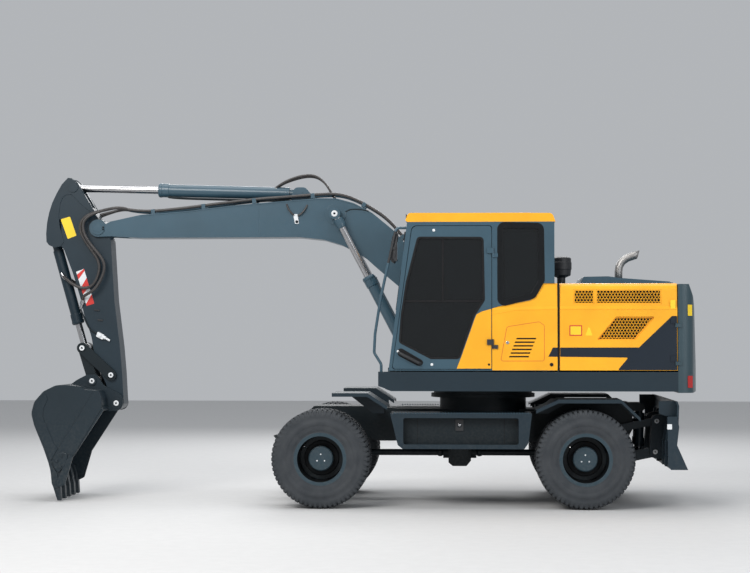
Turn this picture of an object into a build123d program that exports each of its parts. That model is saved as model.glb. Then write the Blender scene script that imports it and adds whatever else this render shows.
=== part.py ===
"""Wheeled excavator of about 15 t: twin-tyred undercarriage with a rear blade, slewing
upperstructure with cab and engine bay, one-piece boom, arm and bucket.

Millimetres. +X is forward, +Y is the operator's left, +Z is up, and the ground is z = 0.
Everything is modelled about the slewing axis (x = 0, y = 0). At the end the whole machine
is moved along X, so that the origin lies under the middle of its overall length.
"""
from build123d import *
import os
from math import atan2, cos, degrees, hypot, radians, sin, tan

# Wheels and tyres
TYRE_DIAMETER = 1050.0
TYRE_WIDTH = 275.0
TWIN_SPACING = 318.0
OVERALL_WIDTH = 2500.0
RIM_SEAT_DIAMETER = 512.0
RIM_FLANGE_DIAMETER = 566.0
RIM_WALL = 13.0
RIM_FLANGE_WALL = 14.0
BEAD_SHARE = 0.78
WHEEL_DISC_WALL = 20.0
DISC_HOLE_DIAMETER = 62.0
DISC_HOLES = 8
HUB_DIAMETER = 262.0
HUB_FACE_INSET = 128.0
HUB_INNER_DEPTH = 75.0
STUB_DIAMETER = 90.0
FRONT_AXLE_X = 1730.0
WHEELBASE = 2800.0

# Axles, steering and driveline
AXLE_TUBE_DIAMETER = 190.0
AXLE_BULGE_DIAMETER = 330.0
AXLE_BULGE_WIDTH = 210.0
REDUCER_DIAMETER = 296.0
KINGPIN_Y = OVERALL_WIDTH / 2 - 630.0
KINGPIN_DIAMETER = 62.0
KNUCKLE_BARREL_DIAMETER = 150.0
KNUCKLE_HEIGHT = 190.0
STEERING_ARM_LENGTH = 215.0
STEERING_ARM_WALL = 30.0
STEERING_BARREL_DIAMETER = 84.0
STEERING_BARREL_LENGTH = 460.0
STEERING_ROD_DIAMETER = 40.0
STEERING_EYE_DIAMETER = 74.0
STEERING_EYE_HEIGHT = 48.0
GEARBOX_FRONT_X = 384.0
GEARBOX_REAR_X = 134.0
GEARBOX_BOTTOM_Z = 382.0
GEARBOX_WIDTH = 320.0
DRIVESHAFT_DIAMETER = 70.0
FLANGE_DIAMETER = 128.0
FLANGE_WALL = 26.0

# Undercarriage frame
FRAME_WIDTH = 540.0
FRAME_MID_WIDTH = 800.0
FRAME_TOP_Z = 1000.0
FRAME_BOTTOM_Z = 668.0
FRAME_REAR_X = -1640.0
FRAME_PLATE = 22.0
NOSE_TIP_X = 2348.0
NOSE_TIP_Z = 707.0
NOSE_WIDTH = 120.0
PEDESTAL_DIAMETER = 960.0
PEDESTAL_TOP_Z = 1150.0
SLEW_RING_DIAMETER = 1156.0
SLEW_RING_BORE = 900.0
TOW_EYE_DIAMETER = 46.0
TOW_EYE_PLACE = (2268.0, 672.0)

# Step boxes and fenders
STEP_BOX_INNER_Y = 640.0
STEP_BOX_OUTER_Y = OVERALL_WIDTH / 2 - 30.0
STEP_BOX_TOP_Z = 1010.0
STEP_BOX_BOTTOM_Z = 636.0
STEP_BOX_FRONT_X = 988.0
STEP_BOX_REAR_X = -506.0
STEP_BOX_WALL = 6.0
STEP_RECESS_DEPTH = 120.0
STEP_TREAD_WALL = 14.0
FENDER_OUTER_Y = OVERALL_WIDTH / 2 - 20.0
FENDER_INNER_Y = 610.0
FENDER_PLATE = 8.0
FENDER_LIP = 38.0

# Dozer blade at the rear
BLADE_WIDTH = OVERALL_WIDTH - 10.0
BLADE_BOTTOM_Z = 427.0
BLADE_TOP_Z = 1141.0
BLADE_PLATE = 22.0
BLADE_LOWER_PIN = (-1878.0, 561.0)
BLADE_UPPER_PIN = (-1895.0, 897.0)
BLADE_ARM_PIVOT = (-1350.0, 450.0)
BLADE_ARM_Y = 285.0
BLADE_ARM_WALL = 60.0
BLADE_ARM_DEPTH = 110.0
BLADE_LINK_WALL = 46.0
BLADE_LINK_DEPTH = 80.0
BLADE_PIN_DIAMETER = 56.0
BLADE_CYLINDER_FOOT = (-1740.0, 1040.0)
BLADE_CYLINDER_EYE = (-1720.0, 510.0)
BLADE_CYLINDER_Y = 130.0
BLADE_BARREL_DIAMETER = 96.0
BLADE_BARREL_LENGTH = 430.0
BLADE_ROD_DIAMETER = 50.0
BLADE_ROD_LENGTH = 445.0
BLADE_BARREL_NECK = 62.0
BLADE_BARREL_EYE = (84.0, 66.0)
BLADE_ROD_EYE = (74.0, 62.0)
BLADE_CYLINDER_PIN = 50.0
BLADE_LUG_WALL = 20.0
BLADE_TIE_AHEAD = 112.0
BLADE_TIE_DIAMETER = 70.0

# Upperstructure frame, counterweight and engine bay
DECK_BOTTOM_Z = 1245.0
DECK_TOP_Z = 1450.0
DECK_HALF_WIDTH = 1230.0
DECK_FRONT_X = 1114.0
DECK_REAR_X = -2035.0
DECK_PLATE = 24.0
SKIRT_WIDTH = 90.0
SKIRT_WALL = 12.0
DECK_BEAM_X = (954.0, 60.0, -640.0, -1300.0, -1975.0)
TAIL_X = -2300.0
COUNTERWEIGHT_BOTTOM_Z = 1231.0
COUNTERWEIGHT_TOP_Z = 2374.0
BAY_TOP_Z = 2383.0
BAY_PANEL = 34.0
BAY_RETURN = 150.0
BAY_SHEET = 8.0
DOOR_FRONT_X = -800.0
DOOR_REAR_X = -2027.0
PANEL_REAR_X = -774.7
LEFT_PANEL_WALL = 20.0
RIGHT_PANEL_FRONT_X = -84.0
PANEL_BOTTOM_Z = 1466.0
CREASE_Z = 2111.0
HOOD_FRONT_X = -1041.0
HOOD_REAR_X = -2024.0
HOOD_RIGHT_Y = -180.0
HOOD_LEFT_Y = DECK_HALF_WIDTH - 370.0
HOOD_TOP_Z = 2467.0
PANEL_GAP = 6.0
EXHAUST_FOOT = (-1540.0, -300.0)
EXHAUST_DIAMETER = 88.0
PRE_CLEANER_PLACE = (-866.0, 225.0)
TANK_WALL = 12.0
TOOL_BOX_WALL = 6.0

# Boom foot brackets
BOOM_FOOT = (170.0, 1900.0)
BOOM_FOOT_WIDTH = 360.0
BRACKET_PLATE = 22.0
PIN_CLEARANCE = 0.05
FACE_CLEARANCE = 0.3
RUN_CLEARANCE = 6.0

# Cab
CAB_OUTER_Y = DECK_HALF_WIDTH - 5.0
CAB_INNER_Y = CAB_OUTER_Y - 880.0
CAB_BASE_Z = 1462.0
CAB_TOP_Z = 3034.0
CAB_REAR_X = -745.0
CAB_FRONT_BASE_X = 1005.0
CAB_FRONT_TOP_X = 808.0
CAB_WALL = 62.0
CAB_FLOOR = 60.0
DOOR_WALL = 46.0
GLASS_WALL = 6.0
ROOF_TOP_Z = 3130.0
ROOF_WALL = 20.0
GLASS_INSET = 18.0
END_POST_WIDTH = 80.0
DOOR_REAR_EDGE_X = -83.0
DOOR_TOP_Z = 2990.0
DOOR_BOTTOM_Z = 1480.0
FRONT_GLASS = (1560.0, 2960.0)
REAR_GLASS = (2410.0, 2940.0)
CAB_MOUNT_X = (954.0, 60.0, -640.0)
CAB_MOUNT_Y = (CAB_INNER_Y + 85.0, CAB_OUTER_Y - 130.0)
RAIL_Y = DECK_HALF_WIDTH - 70.0
RAIL_DIAMETER = 30.0

# Hinges of cab door, engine doors and hood: knuckle axes (x, y) or (x, z) and places
HINGE_RADIUS = 9.0
HINGE_STRAP = 8.0
HINGE_LENGTH = 40.0
HINGE_UPPER = 60.0
HINGE_LOWER = 40.0
CAB_HINGE = (-98.0, DECK_HALF_WIDTH + 10.0)
CAB_HINGE_Z = (1733.0, 2700.0)
BAY_HINGE = (-2013.0, DECK_HALF_WIDTH + 10.0)
BAY_HINGE_Z = (1560.0, 1960.0)
HOOD_HINGE = (-2030.0, 2396.0)
HOOD_HINGE_Y = (-80.0, 640.0)

# Boom, arm and bucket
BOOM_WIDTH = 350.0
BOOM_PLATE = 14.0
BOOM_NOSE = (4324.0, 3040.0)
BOOM_NOSE_RADIUS = 98.0
BOOM_FORK_PLATE = 30.0
BOOM_FORK_START_X = 3985.0
BOOM_PIN_DIAMETER = 90.0
BOOM_CYLINDER_FOOT = (760.0, 1500.0)
BOOM_CYLINDER_EYE = (1642.0, 3186.0)
BOOM_CYLINDER_Y = 268.0
ARM_CYLINDER_FOOT = (2056.0, 3430.0)
ARM_CYLINDER_EYE = (4613.0, 3503.0)
ARM_WIDTH = 280.0
ARM_PLATE = 12.0
ARM_EAR_PLATE = 60.0
ARM_LUG_WALL = 30.0
BUCKET_PIN = (4106.0, 1074.0)
LINK_PIN = (4382.0, 1322.0)
ROCKER_PIN = (4169.0, 1388.0)
BUCKET_CYLINDER_EYE = (4497.0, 1691.0)
BUCKET_CYLINDER_FOOT = (4845.0, 2915.0)
LINK_INNER_Y = 100.0
LINK_PLATE = 38.0
LINK_DEPTH = 112.0
ROCKER_PLATE = 30.0
ROCKER_PIN_DIAMETER = 70.0
BUCKET_PIN_DIAMETER = 80.0
BUCKET_WIDTH = 1000.0
BUCKET_PLATE = 22.0
BUCKET_EAR_PLATE = 32.0
TOOTH_TIP_Z = 20.0
TEETH = 5
TOOTH_WIDTH = 70.0

# Cylinders of boom, arm and bucket: barrel and rod diameters and lengths from pin to end
BOOM_BARREL_DIAMETER = 120.0
BOOM_BARREL_LENGTH = 1110.0
BOOM_ROD_DIAMETER = 80.0
BOOM_ROD_LENGTH = 1280.0
ARM_BARREL_DIAMETER = 140.0
ARM_BARREL_LENGTH = 1600.0
ARM_ROD_DIAMETER = 85.0
ARM_ROD_LENGTH = 1395.0
BUCKET_BARREL_DIAMETER = 118.0
BUCKET_BARREL_LENGTH = 985.0
BUCKET_ROD_DIAMETER = 75.0
BUCKET_ROD_LENGTH = 1040.0

# Barrel necks between the ears, pins, and eyes as (diameter, width)
BOOM_BARREL_NECK = 92.0
BOOM_BARREL_EYE = (116.0, 88.0)
BOOM_ROD_EYE = (124.0, 100.0)
BOOM_CYLINDER_PIN = 70.0
BOOM_LUG_WALL = 22.0
ARM_BARREL_NECK = 118.0
ARM_BARREL_EYE = (120.0, 108.0)
ARM_ROD_EYE = (124.0, 108.0)
ARM_CYLINDER_PIN = 70.0
BUCKET_BARREL_NECK = 122.0
BUCKET_BARREL_EYE = (112.0, 108.0)
BUCKET_ROD_EYE = (116.0, 96.0)
BUCKET_CYLINDER_PIN = 65.0
NECK_INSET = 4.0
GLAND_LENGTH = 90.0
GLAND_LIP = 8.0
BARREL_END_WALL = 14.0

# Values that follow from the ones above
AXLE_Z = TYRE_DIAMETER / 2
REAR_AXLE_X = FRONT_AXLE_X - WHEELBASE
OUTER_TYRE_Y = OVERALL_WIDTH / 2 - TYRE_WIDTH / 2
INNER_TYRE_Y = OUTER_TYRE_Y - TWIN_SPACING
TWIN_MIDDLE_Y = (OUTER_TYRE_Y + INNER_TYRE_Y) / 2
HUB_INNER_Y = TWIN_MIDDLE_Y - HUB_INNER_DEPTH
REDUCER_END_Y = HUB_INNER_Y - RUN_CLEARANCE
CAB_MIDDLE_Y = (CAB_INNER_Y + CAB_OUTER_Y) / 2

# Frame details: arch heights over the axles, ring face and carriers
FRONT_ARCH_Z = 735.0
REAR_ARCH_Z = 705.0
PEDESTAL_RING_Z = DECK_BOTTOM_Z - 55.0
FENDER_ARM_X = (1150.0, -640.0)
STEP_BOX_BEAM_X = (-380.0, 640.0)
FENDER_WEB_WALL = 12.0
BLADE_LINK_PIVOT = (
    BLADE_ARM_PIVOT[0] + BLADE_UPPER_PIN[0] - BLADE_LOWER_PIN[0],
    BLADE_ARM_PIVOT[1] + BLADE_UPPER_PIN[1] - BLADE_LOWER_PIN[1],
)

# Side-view outlines: x, z and, where the corner is rounded, its radius
FRONT_FENDER = [(1605.0, 1223.0), (1232.0, 1223.0), (1019.0, 1086.0)]
REAR_FENDER = [(-550.0, 1050.0), (-786.0, 1158.0), (-1442.0, 1158.0), (-1641.0, 967.0)]
FRONT_FENDER_WEB = [(1457.0, 1216.0), (1236.0, 1216.0), (1080.0, 1116.0), (1080.0, 985.0), (1200.0, 985.0),
                    (1457.0, 1185.0)]
REAR_FENDER_WEB = [(-570.0, 1050.0), (-790.0, 1150.0), (-1000.0, 1150.0), (-700.0, 985.0), (-570.0, 985.0)]
LEFT_PANEL = [
    (DOOR_REAR_EDGE_X - PANEL_GAP, PANEL_BOTTOM_Z), (DOOR_REAR_EDGE_X - PANEL_GAP, 2118.0),
    (-152.0, 2138.0, 60), (-493.0, 2205.0, 60), (-541.0, 2253.0, 40), (-623.0, BAY_TOP_Z),
    (PANEL_REAR_X, BAY_TOP_Z), (PANEL_REAR_X, PANEL_BOTTOM_Z),
]
LOUVRE_START = (-346.0, 1808.0)
LOUVRE_STEP = (15.0, -38.0)
LOUVRE_LENGTH = 205.0
LOUVRE_HEIGHT = 16.0
LOUVRES = 6
GRILLE_Z = (2163.0, 2318.0)
GRILLE_SPANS = ((-1163.0, -944.0), (-1865.0, -1180.0))
LOWER_GRILLE = [(-1386.0, 2032.0), (-1801.0, 2032.0), (-1585.0, 1784.0), (-1180.0, 1784.0)]
UPPER_GRILLE_ROWS = 5
LOWER_GRILLE_ROWS = 7
GRILLE_INSET = 28.0
GRILLE_WALL = 6.0
DOOR_WINDOW = [
    (697.0, 2874.0, 40), (3.0, 2870.0, 40), (-10.0, 2206.0, 40), (96.0, 2041.0, 40), (256.0, 1588.0, 40),
    (557.0, 1587.0, 40), (892.0, 1760.0, 40), (872.0, 2047.0, 100), (818.0, 2395.0, 200),
]
QUARTER_WINDOW = [(-190.0, 2985.0, 30), (-590.0, 2975.0, 30), (-598.0, 2420.0, 20), (-508.0, 2262.0, 40),
                  (-190.0, 2185.0, 30)]
SIDE_GLASS = [(760.0, 2960.0, 60), (-600.0, 2960.0, 60), (-600.0, 2050.0, 60), (850.0, 2050.0, 60)]
BOOM_OUTLINE = [
    (4190, 3112), (3837, 3188, 600), (3317, 3229, 1500), (2803, 3289, 1500), (2236, 3337, 1500),
    (1844, 3368, 300), (1640, 3366, 300), (1436, 3311, 300), (1234, 3202, 300), (1000, 3010, 300),
    (BOOM_FOOT[0] - 60, BOOM_FOOT[1] + 112), (BOOM_FOOT[0] + 90, BOOM_FOOT[1] - 92),
    (1166, 2573), (1301, 2694, 200), (1438, 2774, 200), (1572, 2842, 200), (1775, 2903, 200),
    (2049, 2933, 400), (2803, 2931), (3852, 2929), (4192, 2949),
]
ARM_OUTLINE = [
    (4666, 3607, 40), (4763, 3449, 300), (4852, 3277, 300), (4897, 3118, 200), (4900, 3000),
    (4800, 2900), (4715, 2800, 60), (4614, 2539, 600), (4525, 2250, 600), (4484, 2067, 600), (4398, 1819, 600),
    (4350, 1522, 300), (4230, 1290, 60), (4185, 1074), (4106, 1000, 60), (4030, 1074), (4050, 1420, 200),
    (4075, 1703, 600), (4140, 2221, 900), (4184, 2911, 120), (4391, 3258, 300), (4510, 3462, 300), (4569, 3563, 40),
]
BUCKET_OUTLINE = [
    (4187, 1006, 20), (4300, 1160, 120), (4440, 1262, 120), (4590, 1284, 100), (4720, 1282, 120),
    (4858, 1215, 120), (4960, 1100, 130), (4994, 969, 130), (4960, 837, 160), (4858, 593, 300),
    (4800, 431, 300), (4744, 218), (4728, 170), (4690, 160), (4640, 200), (4539, 465, 60),
]
BUCKET_HOLLOW = [
    (4140, 1000), (4215, 1000), (4318, 1142, 110), (4447, 1238, 110), (4590, 1258, 90), (4712, 1256, 100),
    (4842, 1196, 100), (4936, 1088, 110), (4966, 969, 110), (4935, 845, 140), (4833, 601, 280),
    (4775, 437, 280), (4712, 190), (4680, 130), (4560, 160), (4430, 465),
]


def outline(corners):
    """Closed face through corners (u, v) or (u, v, radius); a radius becomes a tangent arc."""
    count = len(corners)
    points = [Vector(corner[0], corner[1]) for corner in corners]
    joints = []
    for i, corner in enumerate(corners):
        here = points[i]
        if len(corner) < 3:
            joints.append((here, None, here))
            continue
        before = (points[i - 1] - here).normalized()
        after = (points[(i + 1) % count] - here).normalized()
        half = radians(before.get_angle(after)) / 2
        reach = corner[2] / tan(half)
        inward = (before + after).normalized()
        middle = here + inward * (corner[2] / sin(half) - corner[2])
        joints.append((here + before * reach, middle, here + after * reach))
    edges = []
    for i, (start, middle, finish) in enumerate(joints):
        if middle is not None:
            edges.append(ThreePointArc(start, middle, finish))
        following = joints[(i + 1) % count][0]
        if (following - finish).length > 1e-4:
            edges.append(Line(finish, following))
    face = Face(Wire(edges))
    return face if face.normal_at().Z > 0 else -face


def slab(corners, y_low, y_high):
    """Side-view outline (x, z) made solid from y_low to y_high."""
    return extrude(Plane.XZ.offset(-y_high) * outline(corners), y_high - y_low)


def pair(corners, y_low, y_high):
    """The same slab on the left and on the right."""
    left = slab(corners, y_low, y_high)
    return left + mirror(left, about=Plane.XZ)


def plan(corners, z_low, z_high):
    """Plan-view outline (x, y) made solid from z_low to z_high."""
    return extrude(Plane.XY.offset(z_low) * outline(corners), z_high - z_low)


def across(corners, x_low, x_high):
    """Front-view outline (y, z) made solid from x_low to x_high."""
    return extrude(Plane.YZ.offset(x_low) * outline(corners), x_high - x_low)


def block(x_low, x_high, y_low, y_high, z_low, z_high):
    """Rectangular block between three pairs of limits."""
    size = Box(x_high - x_low, y_high - y_low, z_high - z_low)
    return Pos((x_low + x_high) / 2, (y_low + y_high) / 2, (z_low + z_high) / 2) * size


def pin(centre, diameter, y_low, y_high):
    """Cylinder along Y about centre (x, z)."""
    disc = Plane.XZ.offset(-y_high) * Pos(centre[0], centre[1]) * Circle(diameter / 2)
    return extrude(disc, y_high - y_low)


def upright(x, y, diameter, z_low, z_high):
    """Vertical cylinder."""
    return extrude(Plane.XY.offset(z_low) * Pos(x, y) * Circle(diameter / 2), z_high - z_low)


def lengthwise(y, z, diameter, x_low, x_high):
    """Cylinder along X."""
    return extrude(Plane.YZ.offset(x_low) * Pos(y, z) * Circle(diameter / 2), x_high - x_low)


def tube(points, radii, diameter):
    """Round bar bent through points (x, y, z), with one bend radius for each inner point."""
    path = FilletPolyline(*points, radius=radii)
    start = Vector(*points[0])
    section = Plane(origin=start, z_dir=Vector(*points[1]) - start) * Circle(diameter / 2)
    return sweep(section, path=path)


def both(shape):
    """A left-hand piece together with its mirror image on the right."""
    return shape + mirror(shape, about=Plane.XZ)


def right_of(shape):
    """The mirror image of a left-hand piece."""
    return mirror(shape, about=Plane.XZ)


def along(start, finish, distance):
    """Point at a distance from start (x, z) towards finish (x, z)."""
    length = hypot(finish[0] - start[0], finish[1] - start[1])
    share = distance / length
    return (start[0] + (finish[0] - start[0]) * share, start[1] + (finish[1] - start[1]) * share)


def round_bar(start, finish, diameter, y):
    """Round bar between two side-view points, at a given y."""
    low = Vector(start[0], y, start[1])
    reach = Vector(finish[0], y, finish[1]) - low
    return extrude(Plane(origin=low, z_dir=reach) * Circle(diameter / 2), reach.length)


# Wheels

def tyres(x):
    """Twin tyres of one left wheel."""
    seat = RIM_SEAT_DIAMETER / 2
    lip = RIM_FLANGE_DIAMETER / 2 + 4
    outer = TYRE_DIAMETER / 2
    half = TYRE_WIDTH / 2
    bead = half * BEAD_SHARE
    edges = [Line((outer, half * 0.5), (outer, -half * 0.5)), Line((seat, -bead), (seat, bead))]
    for side in (1, -1):
        shoulder = (outer - 16, side * half * 0.8)
        belly = (lip + 110, side * half)
        edges += [
            Line((seat, side * bead), (lip, side * bead)),
            ThreePointArc((lip, side * bead), (lip + 62, side * (half - 6)), belly),
            ThreePointArc(belly, (outer - 60, side * (half - 7)), shoulder),
            ThreePointArc(shoulder, (outer - 4, side * half * 0.66), (outer, side * half * 0.5)),
        ]
    ring = revolve(Face(Wire(edges)), Axis.Y)
    return Pos(x, OUTER_TYRE_Y, AXLE_Z) * ring + Pos(x, INNER_TYRE_Y, AXLE_Z) * ring


def rim(x):
    """Rim pair with its disc, planetary hub and wheel nuts, for one left wheel."""
    seat = RIM_SEAT_DIAMETER / 2
    flange = RIM_FLANGE_DIAMETER / 2
    inside = seat - RIM_WALL
    bead = TYRE_WIDTH / 2 * BEAD_SHARE
    outer_end = OUTER_TYRE_Y + bead
    inner_end = INNER_TYRE_Y - bead
    barrel = Pos(x, 0, AXLE_Z) * revolve(
        outline([(inside, inner_end), (seat, inner_end), (seat, outer_end), (inside, outer_end)]),
        Axis.Y,
    )
    for centre in (OUTER_TYRE_Y, INNER_TYRE_Y):
        for side in (-1, 1):
            edge = centre + side * bead
            low, high = sorted((edge, edge + side * RIM_FLANGE_WALL))
            ring = outline([(inside, low), (flange, low, 5), (flange, high, 5), (inside, high)])
            barrel += Pos(x, 0, AXLE_Z) * revolve(ring, Axis.Y)
    hub_face = OVERALL_WIDTH / 2 - HUB_FACE_INSET
    disc_back = TWIN_MIDDLE_Y - WHEEL_DISC_WALL / 2
    disc_front = TWIN_MIDDLE_Y + WHEEL_DISC_WALL / 2
    hub = HUB_DIAMETER / 2
    stub = STUB_DIAMETER / 2 + PIN_CLEARANCE
    centre_section = [
        (0, hub_face),
        (hub - 4, hub_face, 10),
        (hub, hub_face - 60, 60),
        (hub, disc_front + 26),
        (hub + 52, disc_front + 26, 6),
        (hub + 58, disc_front),
        (seat - 2, disc_front),
        (seat - 2, disc_back),
        (hub + 30, disc_back),
        (hub + 24, HUB_INNER_Y),
        (stub, HUB_INNER_Y),
        (stub, TWIN_MIDDLE_Y),
        (0, TWIN_MIDDLE_Y),
    ]
    centre = Pos(x, 0, AXLE_Z) * revolve(outline(centre_section), Axis.Y)
    ring_radius = (hub + 58 + inside) / 2
    for k in range(DISC_HOLES):
        angle = 2 * 180.0 / DISC_HOLES * (k + 0.5)
        spot = (x + ring_radius * cos(radians(angle)), AXLE_Z + ring_radius * sin(radians(angle)))
        centre -= pin(spot, DISC_HOLE_DIAMETER, disc_back - 1, disc_front + 1)
    return barrel + centre


# Axles, knuckles, steering and driveline

def axle_housing(x, end_y):
    """Axle casing across the machine with its differential bulge, out to end_y each side."""
    tube_radius = AXLE_TUBE_DIAMETER / 2
    bulge = AXLE_BULGE_DIAMETER / 2
    half = AXLE_BULGE_WIDTH / 2
    section = [
        (0, -end_y),
        (tube_radius + 12, -end_y),
        (tube_radius, -end_y + 90, 80),
        (tube_radius, -half - 110, 90),
        (bulge, -half, 60),
        (bulge, half, 60),
        (tube_radius, half + 110, 90),
        (tube_radius, end_y - 90, 80),
        (tube_radius + 12, end_y),
        (0, end_y),
    ]
    return Pos(x, 0, AXLE_Z) * revolve(outline(section), Axis.Y)


def front_axle():
    """Steered axle with kingpin yokes and the steering cylinder's barrel."""
    yoke_inner = KINGPIN_Y - KNUCKLE_BARREL_DIAMETER / 2 - RUN_CLEARANCE
    casing = axle_housing(FRONT_AXLE_X, yoke_inner - 60)
    knuckle_half = KNUCKLE_HEIGHT / 2
    ear_half = knuckle_half + 56
    ear_radius = 68
    yoke = block(
        FRONT_AXLE_X - 80, FRONT_AXLE_X + 80, yoke_inner - 70, yoke_inner,
        AXLE_Z - ear_half, AXLE_Z + ear_half,
    )
    for side in (-1, 1):
        low, high = sorted((side * (knuckle_half + FACE_CLEARANCE), side * ear_half))
        ear = plan(
            [
                (FRONT_AXLE_X - 80, yoke_inner - 10),
                (FRONT_AXLE_X - ear_radius, KINGPIN_Y + ear_radius, ear_radius - 2),
                (FRONT_AXLE_X + ear_radius, KINGPIN_Y + ear_radius, ear_radius - 2),
                (FRONT_AXLE_X + 80, yoke_inner - 10),
            ],
            AXLE_Z + low, AXLE_Z + high,
        )
        stub_low, stub_high = sorted((side * (knuckle_half - 50), side * (knuckle_half + 2)))
        stub = upright(FRONT_AXLE_X, KINGPIN_Y, KINGPIN_DIAMETER, AXLE_Z + stub_low, AXLE_Z + stub_high)
        yoke += ear + stub
    barrel_x = FRONT_AXLE_X + STEERING_ARM_LENGTH
    half = STEERING_BARREL_LENGTH / 2
    barrel = pin((barrel_x, AXLE_Z), STEERING_BARREL_DIAMETER, -half, half)
    saddle = block(FRONT_AXLE_X + 60, barrel_x - 20, 130, 190, AXLE_Z - 34, AXLE_Z + 34)
    bore = pin((barrel_x, AXLE_Z), STEERING_ROD_DIAMETER + 2 * PIN_CLEARANCE, -half - 1, half + 1)
    flange = lengthwise(0, AXLE_Z, FLANGE_DIAMETER, FRONT_AXLE_X - AXLE_BULGE_DIAMETER / 2 - 60, FRONT_AXLE_X)
    pivot = block(FRONT_AXLE_X - 110, FRONT_AXLE_X + 110, -70, 70, AXLE_Z + 120, FRONT_ARCH_Z)
    return casing + both(yoke) + flange + pivot + (barrel + both(saddle) - bore)


def rear_axle():
    """Rigid axle with reducer housings and spindle stubs that carry the hubs."""
    casing = axle_housing(REAR_AXLE_X, KINGPIN_Y)
    reducer = pin((REAR_AXLE_X, AXLE_Z), REDUCER_DIAMETER, KINGPIN_Y - 2, REDUCER_END_Y)
    stub = pin((REAR_AXLE_X, AXLE_Z), STUB_DIAMETER, REDUCER_END_Y - 2, TWIN_MIDDLE_Y - RUN_CLEARANCE)
    saddle = block(REAR_AXLE_X - 120, REAR_AXLE_X + 120, 190, 262, AXLE_Z + 60, REAR_ARCH_Z)
    flange = lengthwise(0, AXLE_Z, FLANGE_DIAMETER, REAR_AXLE_X, REAR_AXLE_X + AXLE_BULGE_DIAMETER / 2 + 60)
    return casing + both(reducer + stub + saddle) + flange


def knuckle():
    """Left steering knuckle: kingpin barrel, reducer housing, spindle stub and steering arm."""
    half = KNUCKLE_HEIGHT / 2
    housing_start = KINGPIN_Y + 100
    barrel = upright(FRONT_AXLE_X, KINGPIN_Y, KNUCKLE_BARREL_DIAMETER, AXLE_Z - half, AXLE_Z + half)
    neck = block(FRONT_AXLE_X - 62, FRONT_AXLE_X + 62, KINGPIN_Y, housing_start + 10,
                 AXLE_Z - half + 8, AXLE_Z + half - 8)
    housing = pin((FRONT_AXLE_X, AXLE_Z), REDUCER_DIAMETER, housing_start, REDUCER_END_Y)
    stub = pin((FRONT_AXLE_X, AXLE_Z), STUB_DIAMETER, REDUCER_END_Y - 2, TWIN_MIDDLE_Y - RUN_CLEARANCE)
    arm_low = AXLE_Z + STEERING_EYE_HEIGHT / 2 + FACE_CLEARANCE
    arm = plan(
        [
            (FRONT_AXLE_X + 20, KINGPIN_Y - 55),
            (FRONT_AXLE_X + STEERING_ARM_LENGTH + 34, KINGPIN_Y - 34, 32),
            (FRONT_AXLE_X + STEERING_ARM_LENGTH + 34, KINGPIN_Y + 34, 32),
            (FRONT_AXLE_X + 20, KINGPIN_Y + 55),
        ],
        arm_low, arm_low + STEERING_ARM_WALL,
    )
    bore = upright(FRONT_AXLE_X, KINGPIN_Y, KINGPIN_DIAMETER + 2 * PIN_CLEARANCE,
                   AXLE_Z - half - 1, AXLE_Z + half + 1)
    return barrel + neck + housing + stub + arm - bore


def steering_rod():
    """Rod through the steering cylinder, with an eye under each steering arm."""
    x = FRONT_AXLE_X + STEERING_ARM_LENGTH
    half = STEERING_EYE_HEIGHT / 2
    rod = pin((x, AXLE_Z), STEERING_ROD_DIAMETER, -KINGPIN_Y, KINGPIN_Y)
    eyes = both(upright(x, KINGPIN_Y, STEERING_EYE_DIAMETER, AXLE_Z - half, AXLE_Z + half))
    return rod + eyes


def gearbox():
    """Drop gearbox under the frame with its hydraulic drive motor."""
    half = GEARBOX_WIDTH / 2
    case = slab(
        [
            (GEARBOX_REAR_X, GEARBOX_BOTTOM_Z + 60),
            (GEARBOX_REAR_X + 50, GEARBOX_BOTTOM_Z, 20),
            (GEARBOX_FRONT_X - 47, GEARBOX_BOTTOM_Z, 20),
            (GEARBOX_FRONT_X, GEARBOX_BOTTOM_Z + 40),
            (GEARBOX_FRONT_X, FRAME_BOTTOM_Z),
            (GEARBOX_REAR_X, FRAME_BOTTOM_Z),
        ],
        -half, half,
    )
    motor = pin(((GEARBOX_REAR_X + GEARBOX_FRONT_X) / 2, AXLE_Z + 20), 190, half - 5, half + 150)
    shaft = lengthwise(0, AXLE_Z, FLANGE_DIAMETER, GEARBOX_REAR_X - 34, GEARBOX_FRONT_X + 34)
    return case + motor + shaft


def driveshafts():
    """Two universal-jointed shafts, from the gearbox to each axle."""
    bulge = AXLE_BULGE_DIAMETER / 2 + 60
    spans = [(GEARBOX_FRONT_X + 34, FRONT_AXLE_X - bulge), (REAR_AXLE_X + bulge, GEARBOX_REAR_X - 34)]
    shafts = None
    for rear, front in spans:
        shaft = lengthwise(0, AXLE_Z, DRIVESHAFT_DIAMETER, rear, front)
        for end, side in ((rear, 1), (front, -1)):
            low, high = sorted((end, end + side * FLANGE_WALL))
            shaft += lengthwise(0, AXLE_Z, FLANGE_DIAMETER, low, high)
            cross = end + side * (FLANGE_WALL + 34)
            shaft += Pos(cross, 0, AXLE_Z) * Sphere(46)
            shaft += pin((cross, AXLE_Z), 30, -56, 56)
        shafts = shaft if shafts is None else shafts + shaft
    return shafts


# Undercarriage


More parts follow.
